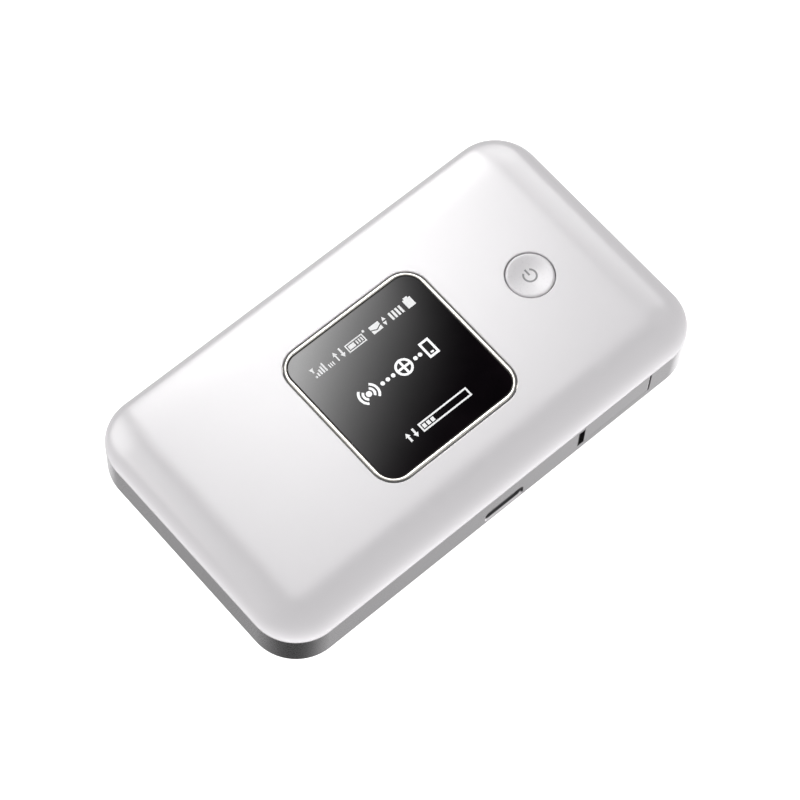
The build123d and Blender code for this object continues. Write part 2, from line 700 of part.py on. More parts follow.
def antenna_bay():
    """Black plate behind the flap, bored for the two sockets, with the nail slot's lining."""
    plate = block((BAY_LEFT, BAY_RIGHT), (BAY_FRONT, BAY_BACK), (BAY_LOW, BAY_HIGH))
    for x in SOCKET_SPOTS:
        face = Plane(origin=(x, BAY_FRONT, SOCKET_Z), x_dir=(1, 0, 0), z_dir=(0, -1, 0))
        plate -= face * extrude(Circle(SOCKET_RADIUS), BAY_FRONT - BAY_BACK)
    liner_x = (NAIL_LEFT + LINER_GAP, FLAP_LEFT - FLAP_GAP)
    liner_z = (NAIL_LOW + LINER_GAP, NAIL_HIGH - LINER_GAP)
    liner = block(liner_x, (LINER_GAP - HALF_W, BAY_FRONT + LINER_GAP), liner_z)
    room_x = (NAIL_LEFT + LINER_WALL, FLAP_LEFT)
    room_z = (NAIL_LOW + LINER_WALL, NAIL_HIGH - LINER_WALL)
    liner -= block(room_x, (-HALF_W, BAY_FRONT), room_z)
    return plate + liner


def antenna_sockets():
    """Two coaxial sockets: a round barrel in front of a square body."""
    sockets = []
    for x in SOCKET_SPOTS:
        face = Plane(origin=(x, SOCKET_FRONT, SOCKET_Z), x_dir=(1, 0, 0), z_dir=(0, -1, 0))
        barrel = face * extrude(Circle(SOCKET_RADIUS - 0.05), SOCKET_FRONT - SOCKET_BODY_FRONT)
        half = SOCKET_BODY / 2
        z_range = (SOCKET_Z - half + 0.3, SOCKET_Z + half)
        body = block((x - half, x + half), (SOCKET_BODY_FRONT, SOCKET_BODY_BACK), z_range)
        bore = face * extrude(Circle(SOCKET_BORE), -SOCKET_BORE_DEPTH)
        sockets.append((barrel + body) - bore)
    return together(sockets)


def battery_pack():
    x_range = (BATTERY_LEFT + BATTERY_CAP, BATTERY_RIGHT)
    cell = block(x_range, (-BATTERY_HALF, BATTERY_HALF), (BATTERY_LOW, BATTERY_HIGH))
    round_edges = cell.edges().filter_by(Axis.Z).group_by(Axis.X)[-1]
    return fillet(round_edges, BATTERY_CORNER)


def battery_end_cap():
    x_range = (BATTERY_LEFT, BATTERY_LEFT + BATTERY_CAP)
    cap = block(x_range, (-BATTERY_HALF, BATTERY_HALF), (BATTERY_LOW, BATTERY_HIGH))
    round_edges = cap.edges().filter_by(Axis.Z).group_by(Axis.X)[0]
    return fillet(round_edges, BATTERY_CORNER) - battery_contacts()


def contact_spots():
    """Y of each battery contact."""
    middle = (CONTACT_COUNT - 1) / 2
    return [CONTACT_Y + (number - middle) * CONTACT_PITCH for number in range(CONTACT_COUNT)]


def battery_contacts():
    """Gold pads set into the end of the battery."""
    x_range = (BATTERY_LEFT, BATTERY_LEFT + CONTACT_THICK)
    half = CONTACT_WIDTH / 2
    z_range = (CONTACT_LOW, CONTACT_HIGH)
    return together([block(x_range, (y - half, y + half), z_range) for y in contact_spots()])


def battery_connector():
    """Plastic block beside the bay, slotted for its spring contacts."""
    half = CONNECTOR_LENGTH / 2
    y_range = (CONTACT_Y - half, CONTACT_Y + half)
    body = block((CONNECTOR_LEFT, CONNECTOR_RIGHT), y_range, (CONNECTOR_LOW, BOARD_LOW))
    return body - battery_spring_row(SPRING_ROOM)


def battery_spring_row(grow):
    """Leaf springs: an upright strip in the block and a nose that reaches for the battery."""
    half = SPRING_WIDTH / 2 + grow
    strip_z = (SPRING_STRIP_Z[0] - grow, SPRING_STRIP_Z[1] + grow)
    nose_z = (SPRING_NOSE_Z[0] - grow, SPRING_NOSE_Z[1] + grow)
    springs = []
    for y in contact_spots():
        y_range = (y - half, y + half)
        strip = block((SPRING_BACK - grow, SPRING_FRONT + grow), y_range, strip_z)
        nose = block((SPRING_BACK - grow, BATTERY_LEFT - SPRING_REACH), y_range, nose_z)
        springs.append(strip + nose)
    return together(springs)


def battery_springs():
    return battery_spring_row(0)


def sim_socket():
    """Steel-covered socket under the board, open on the left for the card."""
    half = SIM_SOCKET_WIDTH / 2
    y_range = (SIM_Y - half, SIM_Y + half)
    body = block((SIM_SOCKET_LEFT, SIM_SOCKET_RIGHT), y_range, (SIM_SOCKET_LOW, BOARD_LOW))
    room = SIM_WIDTH / 2 + 0.1
    slot_x = (SIM_SOCKET_LEFT - 1, SIM_RIGHT + 0.1)
    body -= block(slot_x, (SIM_Y - room, SIM_Y + room), (SIM_LOW - 0.05, SIM_HIGH + 0.1))
    window_x = (SIM_SOCKET_LEFT + SIM_WINDOW_INSET, SIM_SOCKET_RIGHT - SIM_WINDOW_INSET)
    window_y = (SIM_Y - SIM_WINDOW_HALF, SIM_Y + SIM_WINDOW_HALF)
    return body - block(window_x, window_y, (SIM_SOCKET_LOW - 1, SIM_LOW))


def sim_card():
    """Card with one corner cut off."""
    half = SIM_WIDTH / 2
    cut_corner = [(SIM_RIGHT - SIM_CUT, -half), (SIM_RIGHT, SIM_CUT - half)]
    points = [(SIM_LEFT, -half), *cut_corner, (SIM_RIGHT, half), (SIM_LEFT, half)]
    outline = make_face(Polyline(*points, close=True))
    card = Pos(0, SIM_Y, SIM_LOW) * extrude(outline, SIM_HIGH - SIM_LOW)
    return card - sim_contacts()


def sim_contacts():
    """Gold pads in the card's upper face, three on each side."""
    middle_x = (SIM_LEFT + SIM_RIGHT) / 2
    z_range = (SIM_HIGH - SIM_PAD_THICK, SIM_HIGH)
    half_x, half_y = SIM_PAD_HALF
    pads = []
    for x in (middle_x - SIM_PAD_X, middle_x + SIM_PAD_X):
        for y in (SIM_Y - SIM_PAD_PITCH, SIM_Y, SIM_Y + SIM_PAD_PITCH):
            pads.append(block((x - half_x, x + half_x), (y - half_y, y + half_y), z_range))
    return together(pads)


def housing_screws():
    """Cross-recess screws, one in each boss."""
    screws = []
    for x, y in SCREW_SPOTS:
        screw = post(x, y, SCREW_HEAD, SCREW_HEAD_LOW, SCREW_SEAT)
        screw += post(x, y, SCREW_SHANK, SCREW_SEAT, SCREW_TIP)
        recess = (SCREW_HEAD_LOW - 1, SCREW_HEAD_LOW + RECESS_DEPTH)
        arm = (-RECESS_ARM / 2, RECESS_ARM / 2)
        reach = (-RECESS_REACH, RECESS_REACH)
        cross = block(arm, reach, recess) + block(reach, arm, recess)
        screws.append(screw - Pos(x, y, 0) * cross)
    return together(screws)


NODES = {
    "front_cover": front_cover,
    "mid_frame": mid_frame,
    "back_cover": back_cover,
    "display_bezel": display_bezel,
    "display_window": display_window,
    "window_adhesive": window_adhesive,
    "lcd_panel": lcd_panel,
    "lcd_backlight": lcd_backlight,
    "lcd_frame": lcd_frame,
    "lcd_flex": lcd_flex,
    "lcd_connector": lcd_connector,
    "lcd_cushion": lcd_cushion,
    "main_board": main_board,
    "modem_shield": lambda: shield_can(MODEM_CAN, MODEM_CAN_HEIGHT),
    "wifi_shield": lambda: shield_can(WIFI_CAN, WIFI_CAN_HEIGHT),
    "power_shield": lambda: shield_can(POWER_CAN, POWER_CAN_HEIGHT),
    "rf_shield": lambda: shield_can(RF_CAN, RF_CAN_HEIGHT, below=True),
    "modem_chip": lambda: chip(MODEM_CHIP),
    "memory_chip": lambda: chip(MEMORY_CHIP),
    "wifi_chip": lambda: chip(WIFI_CHIP),
    "power_chip": lambda: chip(POWER_CHIP),
    "rf_chip": lambda: chip(RF_CHIP, below=True),
    "main_antenna": main_antenna,
    "diversity_antenna": diversity_antenna,
    "wifi_antenna": wifi_antenna,
    "power_switch": power_switch,
    "power_switch_plunger": power_switch_plunger,
    "power_button": power_button,
    "power_symbol": power_symbol,
    "menu_switch": menu_switch,
    "menu_switch_plunger": menu_switch_plunger,
    "menu_button": menu_button,
    "reset_switch": reset_switch,
    "reset_button": reset_button,
    "usb_shell": usb_shell,
    "usb_tongue": usb_tongue,
    "usb_contacts": usb_contacts,
    "antenna_flap": antenna_flap,
    "hinge_pin": hinge_pin,
    "antenna_bay": antenna_bay,
    "antenna_sockets": antenna_sockets,
    "battery_pack": battery_pack,
    "battery_end_cap": battery_end_cap,
    "battery_contacts": battery_contacts,
    "battery_connector": battery_connector,
    "battery_springs": battery_springs,
    "sim_socket": sim_socket,
    "sim_card": sim_card,
    "sim_contacts": sim_contacts,
    "housing_screws": housing_screws,
}

os.makedirs("parts", exist_ok=True)
for name, make in NODES.items():
    export_step(make(), f"parts/{name}.step")
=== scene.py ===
import bpy
import bmesh
import json
from math import cos, pi, radians, sin, sqrt
from mathutils import Matrix, Vector
from mathutils.geometry import delaunay_2d_cdt


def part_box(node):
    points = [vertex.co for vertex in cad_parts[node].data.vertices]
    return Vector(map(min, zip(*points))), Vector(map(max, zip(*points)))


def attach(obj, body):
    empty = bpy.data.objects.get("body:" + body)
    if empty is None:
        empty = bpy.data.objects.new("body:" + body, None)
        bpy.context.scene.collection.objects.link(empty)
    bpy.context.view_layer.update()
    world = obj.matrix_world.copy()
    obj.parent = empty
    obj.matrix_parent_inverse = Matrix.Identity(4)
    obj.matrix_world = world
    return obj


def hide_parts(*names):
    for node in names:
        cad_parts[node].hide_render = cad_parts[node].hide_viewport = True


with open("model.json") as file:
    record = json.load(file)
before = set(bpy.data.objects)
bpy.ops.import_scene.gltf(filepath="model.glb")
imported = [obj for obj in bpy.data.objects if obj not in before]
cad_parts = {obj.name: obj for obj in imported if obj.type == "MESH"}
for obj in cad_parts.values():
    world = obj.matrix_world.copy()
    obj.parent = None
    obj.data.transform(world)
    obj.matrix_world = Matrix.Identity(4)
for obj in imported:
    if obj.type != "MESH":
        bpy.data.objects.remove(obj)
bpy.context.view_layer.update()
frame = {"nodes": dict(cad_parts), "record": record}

MM = 0.001
NODES = frame["nodes"]
SLOTS = {subpart["node"]: subpart["material_slot"] for subpart in frame["record"]["subparts"]}

# ---------------------------------------------------------------- sizes in millimetres, and counts


def mm_box(node):
    """A CAD node's lowest and highest corners in millimetres."""
    low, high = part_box(node)
    return low / MM, high / MM


COVER_HIGH = mm_box("front_cover")[1]
BAND_HIGH = mm_box("mid_frame")[1]
RING_LOW, RING_HIGH = mm_box("display_bezel")
LENS_LOW, LENS_HIGH = mm_box("display_window")
CAP_LOW, CAP_HIGH = mm_box("power_button")

HALF_L = COVER_HIGH.x
HALF_W = COVER_HIGH.y
CORNER = 10.0
LEAST_CORNER = 0.35
SEAM = BAND_HIGH.z

COVER_CROWN = 0.25
COVER_RISE = COVER_HIGH.z - SEAM - COVER_CROWN
COVER_RUN = 9.5
COVER_ROUNDNESS = 2.3
COVER_STEPS = 22
COVER_WALL = 1.2
RIM_WALL = 1.65
RIM_EDGE = ((0.0, 0.12), (0.04, 0.03), (0.14, 0.0))  # insets, and heights over the seam
LIP_WALL = 1.0
LIP_DEPTH = 1.2
FILL_SPACING = 2.4
FILL_CLEARANCE = 0.6 * FILL_SPACING

OPENING_HALF = 17.75
OPENING_CORNER = 5.3
OPENING_EDGE = 0.16
OPENING_MARGIN = 0.04
RING_HALF = 17.46
RING_CORNER = 5.2
RING_DOME = 0.22
RING_INNER_DROP = 0.26
RING_FLANGE = 1.2
RING_FLANGE_HEIGHT = 0.5
COLLAR_GAP = 0.04
COLLAR_HALF = OPENING_HALF - COLLAR_GAP
COLLAR_CORNER = RING_CORNER + COLLAR_HALF - RING_HALF
COLLAR_DEPTH = 0.26
WINDOW_HALF = 16.7
WINDOW_CORNER = 3.85
LEDGE_HALF = WINDOW_HALF - 1.4
LEDGE_CORNER = 0.8
LEDGE_TOP = LENS_LOW.z - 0.1
LENS_HALF = LENS_HIGH.x
LENS_CORNER = 3.8
LENS_EDGE = 0.15
LENS_MARGIN = 0.05
FINE_ARC = 20

PICTURE_LOW = LENS_HIGH.z - 0.04
PICTURE_HIGH = LENS_HIGH.z + 0.012

CAP_X = (CAP_LOW.x + CAP_HIGH.x) / 2
CAP_RADIUS = 4.93
CAP_RIM = 0.35
CAP_DISH = 0.30
CAP_GAP = 0.22
CAP_FLANGE_RADIUS = 5.9
CAP_FLANGE_LOW = 13.5
CAP_FLANGE_HIGH = 14.0
CAP_STEM_RADIUS = 1.5
MARK_RADIUS = 1.55
MARK_LINE = 0.40
MARK_GAP = 35.0  # half the ring's opening, in degrees
MARK_STROKE = (0.1, 1.6)
MARK_RISE = 0.015
MARK_DEPTH = 0.1

PAINT_REACH = 0.3
# Reach, top and slope of the near side's upward-facing opening faces, which get a paler copy of the silver
# as a painted highlight.
HIGHLIGHT_REACH = 1.0
HIGHLIGHT_TOP = 8.0
HIGHLIGHT_SLOPE = 0.2  # the least upward part of the face's normal

# ---------------------------------------------------------------- mesh helpers


def add_object(name, data):
    """A new object, in the scene."""
    made = bpy.data.objects.new(name, data)
    bpy.context.scene.collection.objects.link(made)
    return made


def make_object(name, shell, smooth_angle=35.0):
    """A shell as an object with its faces outwards, smooth except across sharp edges."""
    mesh = bpy.data.meshes.new(name)
    mesh.from_pydata([Vector(v) * MM for v in shell.vertices], [], shell.faces)
    work = bmesh.new()
    work.from_mesh(mesh)
    bmesh.ops.recalc_face_normals(work, faces=work.faces[:])
    work.to_mesh(mesh)
    work.free()
    mesh.shade_smooth()
    mesh.set_sharp_from_angle(angle=radians(smooth_angle))
    return add_object(name, mesh)


def rounded_loop(half_x, half_y, corner, arc_steps, x_steps, y_steps):
    """Points round a rectangle with round corners, anticlockwise, the same number for any size."""
    points = []
    signs = ((1, 1), (-1, 1), (-1, -1), (1, -1))
    centres = [Vector((x * (half_x - corner), y * (half_y - corner))) for x, y in signs]
    for index, centre in enumerate(centres):
        for step in range(arc_steps + 1):
            angle = (index + step / arc_steps) * pi / 2
            arm = corner * Vector((cos(angle), sin(angle)))
            points.append(centre + arm)
        side_steps = x_steps if index % 2 == 0 else y_steps
        start, end = centre + arm, centres[(index + 1) % 4] + arm
        for step in range(1, side_steps):
            points.append(start.lerp(end, step / side_steps))
    return points


def circle_loop(x, y, radius, steps=96):
    turn = 2 * pi / steps
    return [Vector((x + radius * cos(i * turn), y + radius * sin(i * turn))) for i in range(steps)]


class Shell:
    """Collects loops of points, in millimetres, and the faces between them."""

    def __init__(self):
        self.vertices = []
        self.faces = []

    def loop(self, points, height):
        """Adds a closed loop; height is a number or a function of x and y."""
        first = len(self.vertices)
        for x, y in points:
            self.vertices.append((x, y, height(x, y) if callable(height) else height))
        return list(range(first, len(self.vertices)))

    def join(self, loop_a, loop_b):
        count = len(loop_a)
        for i in range(count):
            j = (i + 1) % count
            self.faces.append((loop_a[i], loop_a[j], loop_b[j], loop_b[i]))

    def chain(self, loops, closed=False):
        for loop_a, loop_b in zip(loops, loops[1:]):
            self.join(loop_a, loop_b)
        if closed:
            self.join(loops[-1], loops[0])

    def cap(self, loop):
        self.faces.append(tuple(loop))

    def fill(self, outer, holes, height):
        """Triangles between an outer loop and holes, with a grid of points inside."""
        loops = [outer, *holes]
        places = [index for loop in loops for index in loop]
        flat = [Vector(self.vertices[index][:2]) for index in places]
        edges, start = [], 0
        for loop in loops:
            edges += [(start + i, start + (i + 1) % len(loop)) for i in range(len(loop))]
            start += len(loop)
        rings = [[Vector(self.vertices[index][:2]) for index in loop] for loop in loops]
        low = [min(p[axis] for p in rings[0]) for axis in (0, 1)]
        high = [max(p[axis] for p in rings[0]) for axis in (0, 1)]
        steps = [int((high[axis] - low[axis]) / FILL_SPACING) for axis in (0, 1)]
        for i in range(1, steps[0]):
            for j in range(1, steps[1]):
                x = low[0] + (high[0] - low[0]) * i / steps[0]
                y = low[1] + (high[1] - low[1]) * j / steps[1]
                point = Vector((x, y))
                clear = all((p - point).length > FILL_CLEARANCE for ring in rings for p in ring)
                if clear and between(point, rings):
                    flat.append(point)
                    places.append(len(self.vertices))
                    self.vertices.append((x, y, height(x, y)))
        triangles = delaunay_2d_cdt(flat, edges, [], 0, 1e-6)[2]
        for triangle in triangles:
            middle = sum((flat[i] for i in triangle), Vector((0, 0))) / 3
            if between(middle, rings):
                self.faces.append(tuple(places[i] for i in triangle))


def inside(point, ring):
    """Whether a point lies within a closed outline."""
    found = False
    for a, b in zip(ring, ring[1:] + ring[:1]):
        if (a.y > point.y) != (b.y > point.y):
            if point.x < a.x + (point.y - a.y) / (b.y - a.y) * (b.x - a.x):
                found = not found
    return found


def between(point, rings):
    """Whether a point lies within the first outline and outside the others."""
    return inside(point, rings[0]) and not any(inside(point, ring) for ring in rings[1:])


def lathe(shell, x, y, profile):
    """A solid of revolution about an upright axis, closed flat where the profile starts and ends."""
    loops = [shell.loop(circle_loop(x, y, radius), height) for radius, height in profile]
    shell.chain(loops)
    shell.cap(loops[0])
    shell.cap(loops[-1])


def prism(shell, points, low, high):
    """An upright prism on an outline."""
    bottom = shell.loop(points, low)
    top = shell.loop(points, high)
    shell.join(bottom, top)
    shell.cap(bottom)
    shell.cap(top)


# ---------------------------------------------------------------- material helpers


class Nodes:
    """A node tree, built one call at a time."""

    def __init__(self, tree):
        self.tree = tree

    def node(self, kind, **inputs):
        """A new node, each of its inputs given a value or linked to another node's output."""
        made = self.tree.nodes.new("ShaderNode" + kind)
        for key, value in inputs.items():
            self.feed(made.inputs[key.replace("_", " ")], value)
        return made

    def feed(self, socket, value):
        if isinstance(value, bpy.types.NodeSocket):
            self.tree.links.new(value, socket)
        else:
            socket.default_value = value

    def operate(self, kind, operation, a, b):
        made = self.tree.nodes.new("ShaderNode" + kind)
        made.operation = operation
        self.feed(made.inputs[0], a)
        self.feed(made.inputs[1], b)
        return made.outputs["Value"]

    def math(self, operation, a, b=0.0):
        return self.operate("Math", operation, a, b)

    def dot(self, a, b):
        return self.operate("VectorMath", "DOT_PRODUCT", a, b)


class Finish(Nodes):
    """A principled material, with its details added one call at a time."""

    def __init__(self, name, color, roughness, metallic=0.0, coat=0.0, coat_roughness=0.03, ior=1.46):
        self.material = bpy.data.materials.new(name)
        self.material.use_nodes = True
        super().__init__(self.material.node_tree)
        self.shader = self.tree.nodes["Principled BSDF"]
        inputs = self.shader.inputs
        inputs["Base Color"].default_value = (*color, 1)
        inputs["Roughness"].default_value = roughness
        inputs["Metallic"].default_value = metallic
        inputs["Coat Weight"].default_value = coat
        inputs["Coat Roughness"].default_value = coat_roughness
        inputs["IOR"].default_value = ior
        self.place = self.node("TexCoord").outputs["Object"]
        self.normal = None

    def feed_shader(self, name, value):
        self.feed(self.shader.inputs[name], value)
        return self

    def noise(self, scale, detail=2.0):
        """A noise pattern; scale is in cycles per millimetre."""
        return self.node("TexNoise", Vector=self.place, Scale=scale / MM, Detail=detail).outputs["Fac"]

    def cells(self, scale):
        """The distance to the nearest of scattered points; scale is in points per millimetre."""
        return self.node("TexVoronoi", Vector=self.place, Scale=scale / MM).outputs["Distance"]

    def blend_colors(self, factor, color_a, color_b, low=0.35, high=0.65):
        ramp = self.node("ValToRGB", Fac=factor)
        ramp.color_ramp.elements[0].position = low
        ramp.color_ramp.elements[1].position = high
        ramp.color_ramp.elements[0].color = (*color_a, 1)
        ramp.color_ramp.elements[1].color = (*color_b, 1)
        return ramp.outputs["Color"]

    def falling(self, value, low, high):
        """1 up to the low value and 0 from the high one."""
        reach = self.node("MapRange", Value=value, From_Min=low, From_Max=high, To_Min=1.0, To_Max=0.0)
        return reach.outputs["Result"]

    def mottle(self, color_a, color_b, scale, detail=3.0):
        """The colour drifts between two shades."""
        return self.feed_shader("Base Color", self.blend_colors(self.noise(scale, detail), color_a, color_b))

    def uneven(self, low, high, scale):
        """The roughness drifts between two values."""
        pattern = self.noise(scale, 3.0)
        reach = self.node("MapRange", Value=pattern, From_Min=0.3, From_Max=0.7, To_Min=low, To_Max=high)
        return self.feed_shader("Roughness", reach.outputs["Result"])

    def bump(self, height, depth):
        """Raises the surface by a pattern, over any bump before it; depth is in millimetres."""
        made = self.node("Bump", Height=height, Strength=1.0, Distance=depth * MM)
        if self.normal is not None:
            self.feed(made.inputs["Normal"], self.normal)
        self.normal = made.outputs["Normal"]
        return self.feed_shader("Normal", self.normal)

    def grain(self, scale, depth):
        return self.bump(self.noise(scale), depth)

    def specks(self, scale, depth):
        """A fine spark-eroded texture."""
        return self.bump(self.cells(scale), depth)


def white_gloss():
    finish = Finish("gloss_white", (0.81, 0.79, 0.81), 0.22, coat=0.35, coat_roughness=0.06)
    finish.mottle((0.805, 0.785, 0.805), (0.82, 0.80, 0.82), 0.03)
    return finish.uneven(0.20, 0.26, 0.4).grain(0.25, 0.0015).material


def silver_band(name="satin_silver", level=1.0):
    finish = Finish(name, (0.62, 0.605, 0.62), 0.28, metallic=1.0)
    shades = [[part * level for part in color] for color in ((0.59, 0.575, 0.59), (0.66, 0.645, 0.66))]
    finish.mottle(*shades, 9.0, 1.0)
    return finish.uneven(0.25, 0.32, 5.0).grain(12.0, 0.001).material


def inner_plastic():
    finish = Finish("inner_plastic", (0.10, 0.10, 0.105), 0.55)
    finish.mottle((0.096, 0.096, 0.10), (0.106, 0.106, 0.11), 0.4)
    return finish.uneven(0.48, 0.62, 1.0).specks(4.0, 0.01).material


def white_back():
    finish = Finish("white_back", (0.80, 0.80, 0.80), 0.35)
    finish.mottle((0.79, 0.79, 0.79), (0.82, 0.82, 0.82), 0.05)
    return finish.uneven(0.30, 0.42, 0.8).specks(3.0, 0.006).material


def trim_ring():
    finish = Finish("bright_trim", (0.62, 0.60, 0.555), 0.34, metallic=1.0)
    finish.mottle((0.60, 0.58, 0.535), (0.64, 0.62, 0.575), 0.6)
    return finish.uneven(0.30, 0.38, 2.0).grain(6.0, 0.001).material


def lens_black():
    finish = Finish("black_lens", (0.005, 0.0035, 0.0045), 0.04, ior=1.5)
    finish.mottle((0.004, 0.003, 0.004), (0.0065, 0.0045, 0.006), 0.1)
    return finish.uneven(0.035, 0.05, 0.2).material


def lit_picture(name, level):
    finish = Finish(name, (0.5, 0.5, 0.5), 0.3)
    color = finish.blend_colors(finish.noise(6.0, 1.0), (0.82, 0.84, 0.86), (0.95, 0.96, 0.97))
    return finish.feed_shader("Emission Color", color).feed_shader("Emission Strength", level).material


def display_stack():
    finish = Finish("display_glass", (0.03, 0.03, 0.035), 0.1)
    return finish.mottle((0.02, 0.02, 0.025), (0.04, 0.04, 0.045), 0.3).uneven(0.08, 0.14, 0.5).material


def backlight():
    finish = Finish("light_guide", (0.88, 0.90, 0.93), 0.3)
    color = finish.blend_colors(finish.cells(3.0), (0.95, 0.97, 1.0), (0.82, 0.85, 0.9), 0.1, 0.4)
    return finish.feed_shader("Base Color", color).material


def moulded(name, color, roughness, texture=3.0, depth=0.006):
    """Plain moulded plastic with a fine texture."""
    finish = Finish(name, color, roughness)
    lighter = [min(1.0, part * 1.12 + 0.004) for part in color]
    finish.mottle(color, lighter, 0.4)
    return finish.uneven(roughness - 0.08, roughness + 0.08, 1.2).specks(texture, depth).material


def adhesive():
    # Also painted on the trim ring's collar as the shade in the gap round the ring.
    finish = Finish("adhesive_film_and_gap_shade", (0.06, 0.06, 0.06), 0.6)
    return finish.mottle((0.05, 0.05, 0.05), (0.09, 0.09, 0.09), 1.5).grain(3.0, 0.01).material


def foam():
    finish = Finish("open_foam", (0.05, 0.05, 0.052), 0.95)
    return finish.mottle((0.02, 0.02, 0.02), (0.09, 0.09, 0.095), 3.5).specks(4.5, 0.12).material


def flex():
    finish = Finish("amber_flex", (0.45, 0.22, 0.05), 0.3)
    tracks = finish.node("TexWave", Vector=finish.place, Scale=0.35 / MM, Distortion=0.0).outputs["Fac"]
    color = finish.blend_colors(tracks, (0.36, 0.17, 0.035), (0.60, 0.34, 0.10), 0.4, 0.6)
    return finish.feed_shader("Base Color", color).bump(tracks, 0.01).material


def board():
    """Green solder mask over copper tracks, with small tinned pads."""
    finish = Finish("solder_mask", (0.02, 0.12, 0.05), 0.32, coat=0.3)
    tracks = finish.node("TexBrick", Vector=finish.place, Scale=0.35 / MM, Mortar_Size=0.06)
    tracks.inputs["Color1"].default_value = (0.016, 0.10, 0.04, 1)
    tracks.inputs["Color2"].default_value = (0.022, 0.13, 0.055, 1)
    tracks.inputs["Mortar"].default_value = (0.05, 0.24, 0.10, 1)
    pads = finish.falling(finish.cells(0.45), 0.10, 0.13)
    tin = (0.75, 0.74, 0.70, 1)
    mix = finish.node("MixRGB", Fac=pads, Color1=tracks.outputs["Color"], Color2=tin)
    finish.feed_shader("Base Color", mix.outputs["Color"]).feed_shader("Metallic", pads)
    return finish.bump(tracks.outputs["Fac"], 0.03).material


def can():
    finish = Finish("tinned_can", (0.70, 0.70, 0.68), 0.35, metallic=1.0)
    finish.mottle((0.62, 0.62, 0.60), (0.76, 0.76, 0.74), 0.5)
    return finish.uneven(0.25, 0.45, 1.5).grain(1.2, 0.01).material


def chip():
    finish = Finish("moulding_compound", (0.03, 0.03, 0.033), 0.6)
    finish.mottle((0.022, 0.022, 0.025), (0.045, 0.045, 0.05), 2.0)
    return finish.uneven(0.5, 0.7, 2.0).specks(8.0, 0.008).material


def metal(name, color, roughness):
    """Plated or plain metal with a fine grain."""
    finish = Finish(name, color, roughness, metallic=1.0)
    darker = [part * 0.88 for part in color]
    finish.mottle(darker, color, 2.5)
    return finish.uneven(roughness - 0.08, roughness + 0.08, 3.0).grain(6.0, 0.003).material


def button_white():
    finish = Finish("satin_white_key", (0.79, 0.77, 0.79), 0.28, coat=0.2, coat_roughness=0.12)
    finish.mottle((0.78, 0.76, 0.78), (0.80, 0.78, 0.80), 0.2)
    return finish.uneven(0.26, 0.32, 1.5).grain(3.0, 0.001).material


def symbol_grey():
    finish = Finish("grey_print", (0.29, 0.285, 0.295), 0.6)
    return finish.mottle((0.27, 0.265, 0.275), (0.31, 0.305, 0.315), 4.0).grain(8.0, 0.003).material


def battery_wrap():
    """Dark printed film with a paler panel in the middle, over a slightly uneven cell."""
    finish = Finish("battery_film", (0.05, 0.05, 0.055), 0.35, coat=0.2, coat_roughness=0.2)
    low, high = mm_box("battery_pack")
    split = finish.node("SeparateXYZ", Vector=finish.place)
    panel = 1.0
    for axis, name in ((0, "X"), (1, "Y")):
        middle = (low[axis] + high[axis]) / 2 * MM
        half = (high[axis] - low[axis]) / 2 * MM
        offset = finish.math("ABSOLUTE", finish.math("SUBTRACT", split.outputs[name], middle))
        panel = finish.math("MULTIPLY", finish.falling(offset, half * 0.78, half * 0.79), panel)
    color = finish.blend_colors(panel, (0.045, 0.045, 0.05), (0.42, 0.43, 0.45))
    finish.feed_shader("Base Color", color)
    return finish.uneven(0.3, 0.42, 0.5).grain(0.12, 0.08).grain(4.0, 0.003).material


MATERIALS = {
    "white_gloss": white_gloss(),
    "silver_band": silver_band(),
    "white_back": white_back(),
    "trim_ring": trim_ring(),
    "lens_black": lens_black(),
    "display_stack": display_stack(),
    "backlight": backlight(),
    "white_plastic": moulded("white_plastic", (0.78, 0.78, 0.76), 0.45),
    "black_plastic": moulded("black_plastic", (0.016, 0.016, 0.017), 0.42),
    "adhesive": adhesive(),
    "foam": foam(),
    "flex": flex(),
    "board": board(),
    "can": can(),
    "chip": chip(),
    "antenna_foil": metal("copper_foil", (0.80, 0.46, 0.28), 0.3),
    "steel": metal("plain_steel", (0.58, 0.58, 0.59), 0.32),
    "gold": metal("gold_plate", (0.92, 0.70, 0.34), 0.25),
    "button_white": button_white(),
    "symbol_grey": symbol_grey(),
    "silver_key": silver_band(),
    "battery_wrap": battery_wrap(),
    "card": moulded("card_plastic", (0.82, 0.82, 0.80), 0.4, 6.0, 0.002),
    "reset_red": moulded("red_plastic", (0.50, 0.03, 0.025), 0.4),
    "screw_black": metal("black_zinc", (0.07, 0.07, 0.075), 0.38),
}


def paint(piece, *slots):
    """Gives a piece its materials, one for each slot's name."""
    piece.data.materials.clear()
    for name in slots:
        piece.data.materials.append(MATERIALS[name])


def place(piece, body, slot_name, *nodes):
    """Attaches a piece to the body it rides on and hides the nodes it stands for; slot_name is not used."""
    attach(piece, body)
    if nodes:
        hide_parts(*nodes)
    return piece


# ---------------------------------------------------------------- the front cover


def crown(x, y):
    return COVER_CROWN * (1 - (x / HALF_L) ** 2) * (1 - (y / HALF_W) ** 2)


def cover_top(x, y):
    return SEAM + COVER_RISE + crown(x, y)


def cover_underside(x, y):
    return cover_top(x, y) - COVER_WALL


def case_loop(inset):
    corner = max(CORNER - inset, LEAST_CORNER)
    return rounded_loop(HALF_L - inset, HALF_W - inset, corner, arc_steps=16, x_steps=30, y_steps=14)


def square_loop(half, corner, arc_steps=14):
    return rounded_loop(half, half, corner, arc_steps, x_steps=10, y_steps=10)


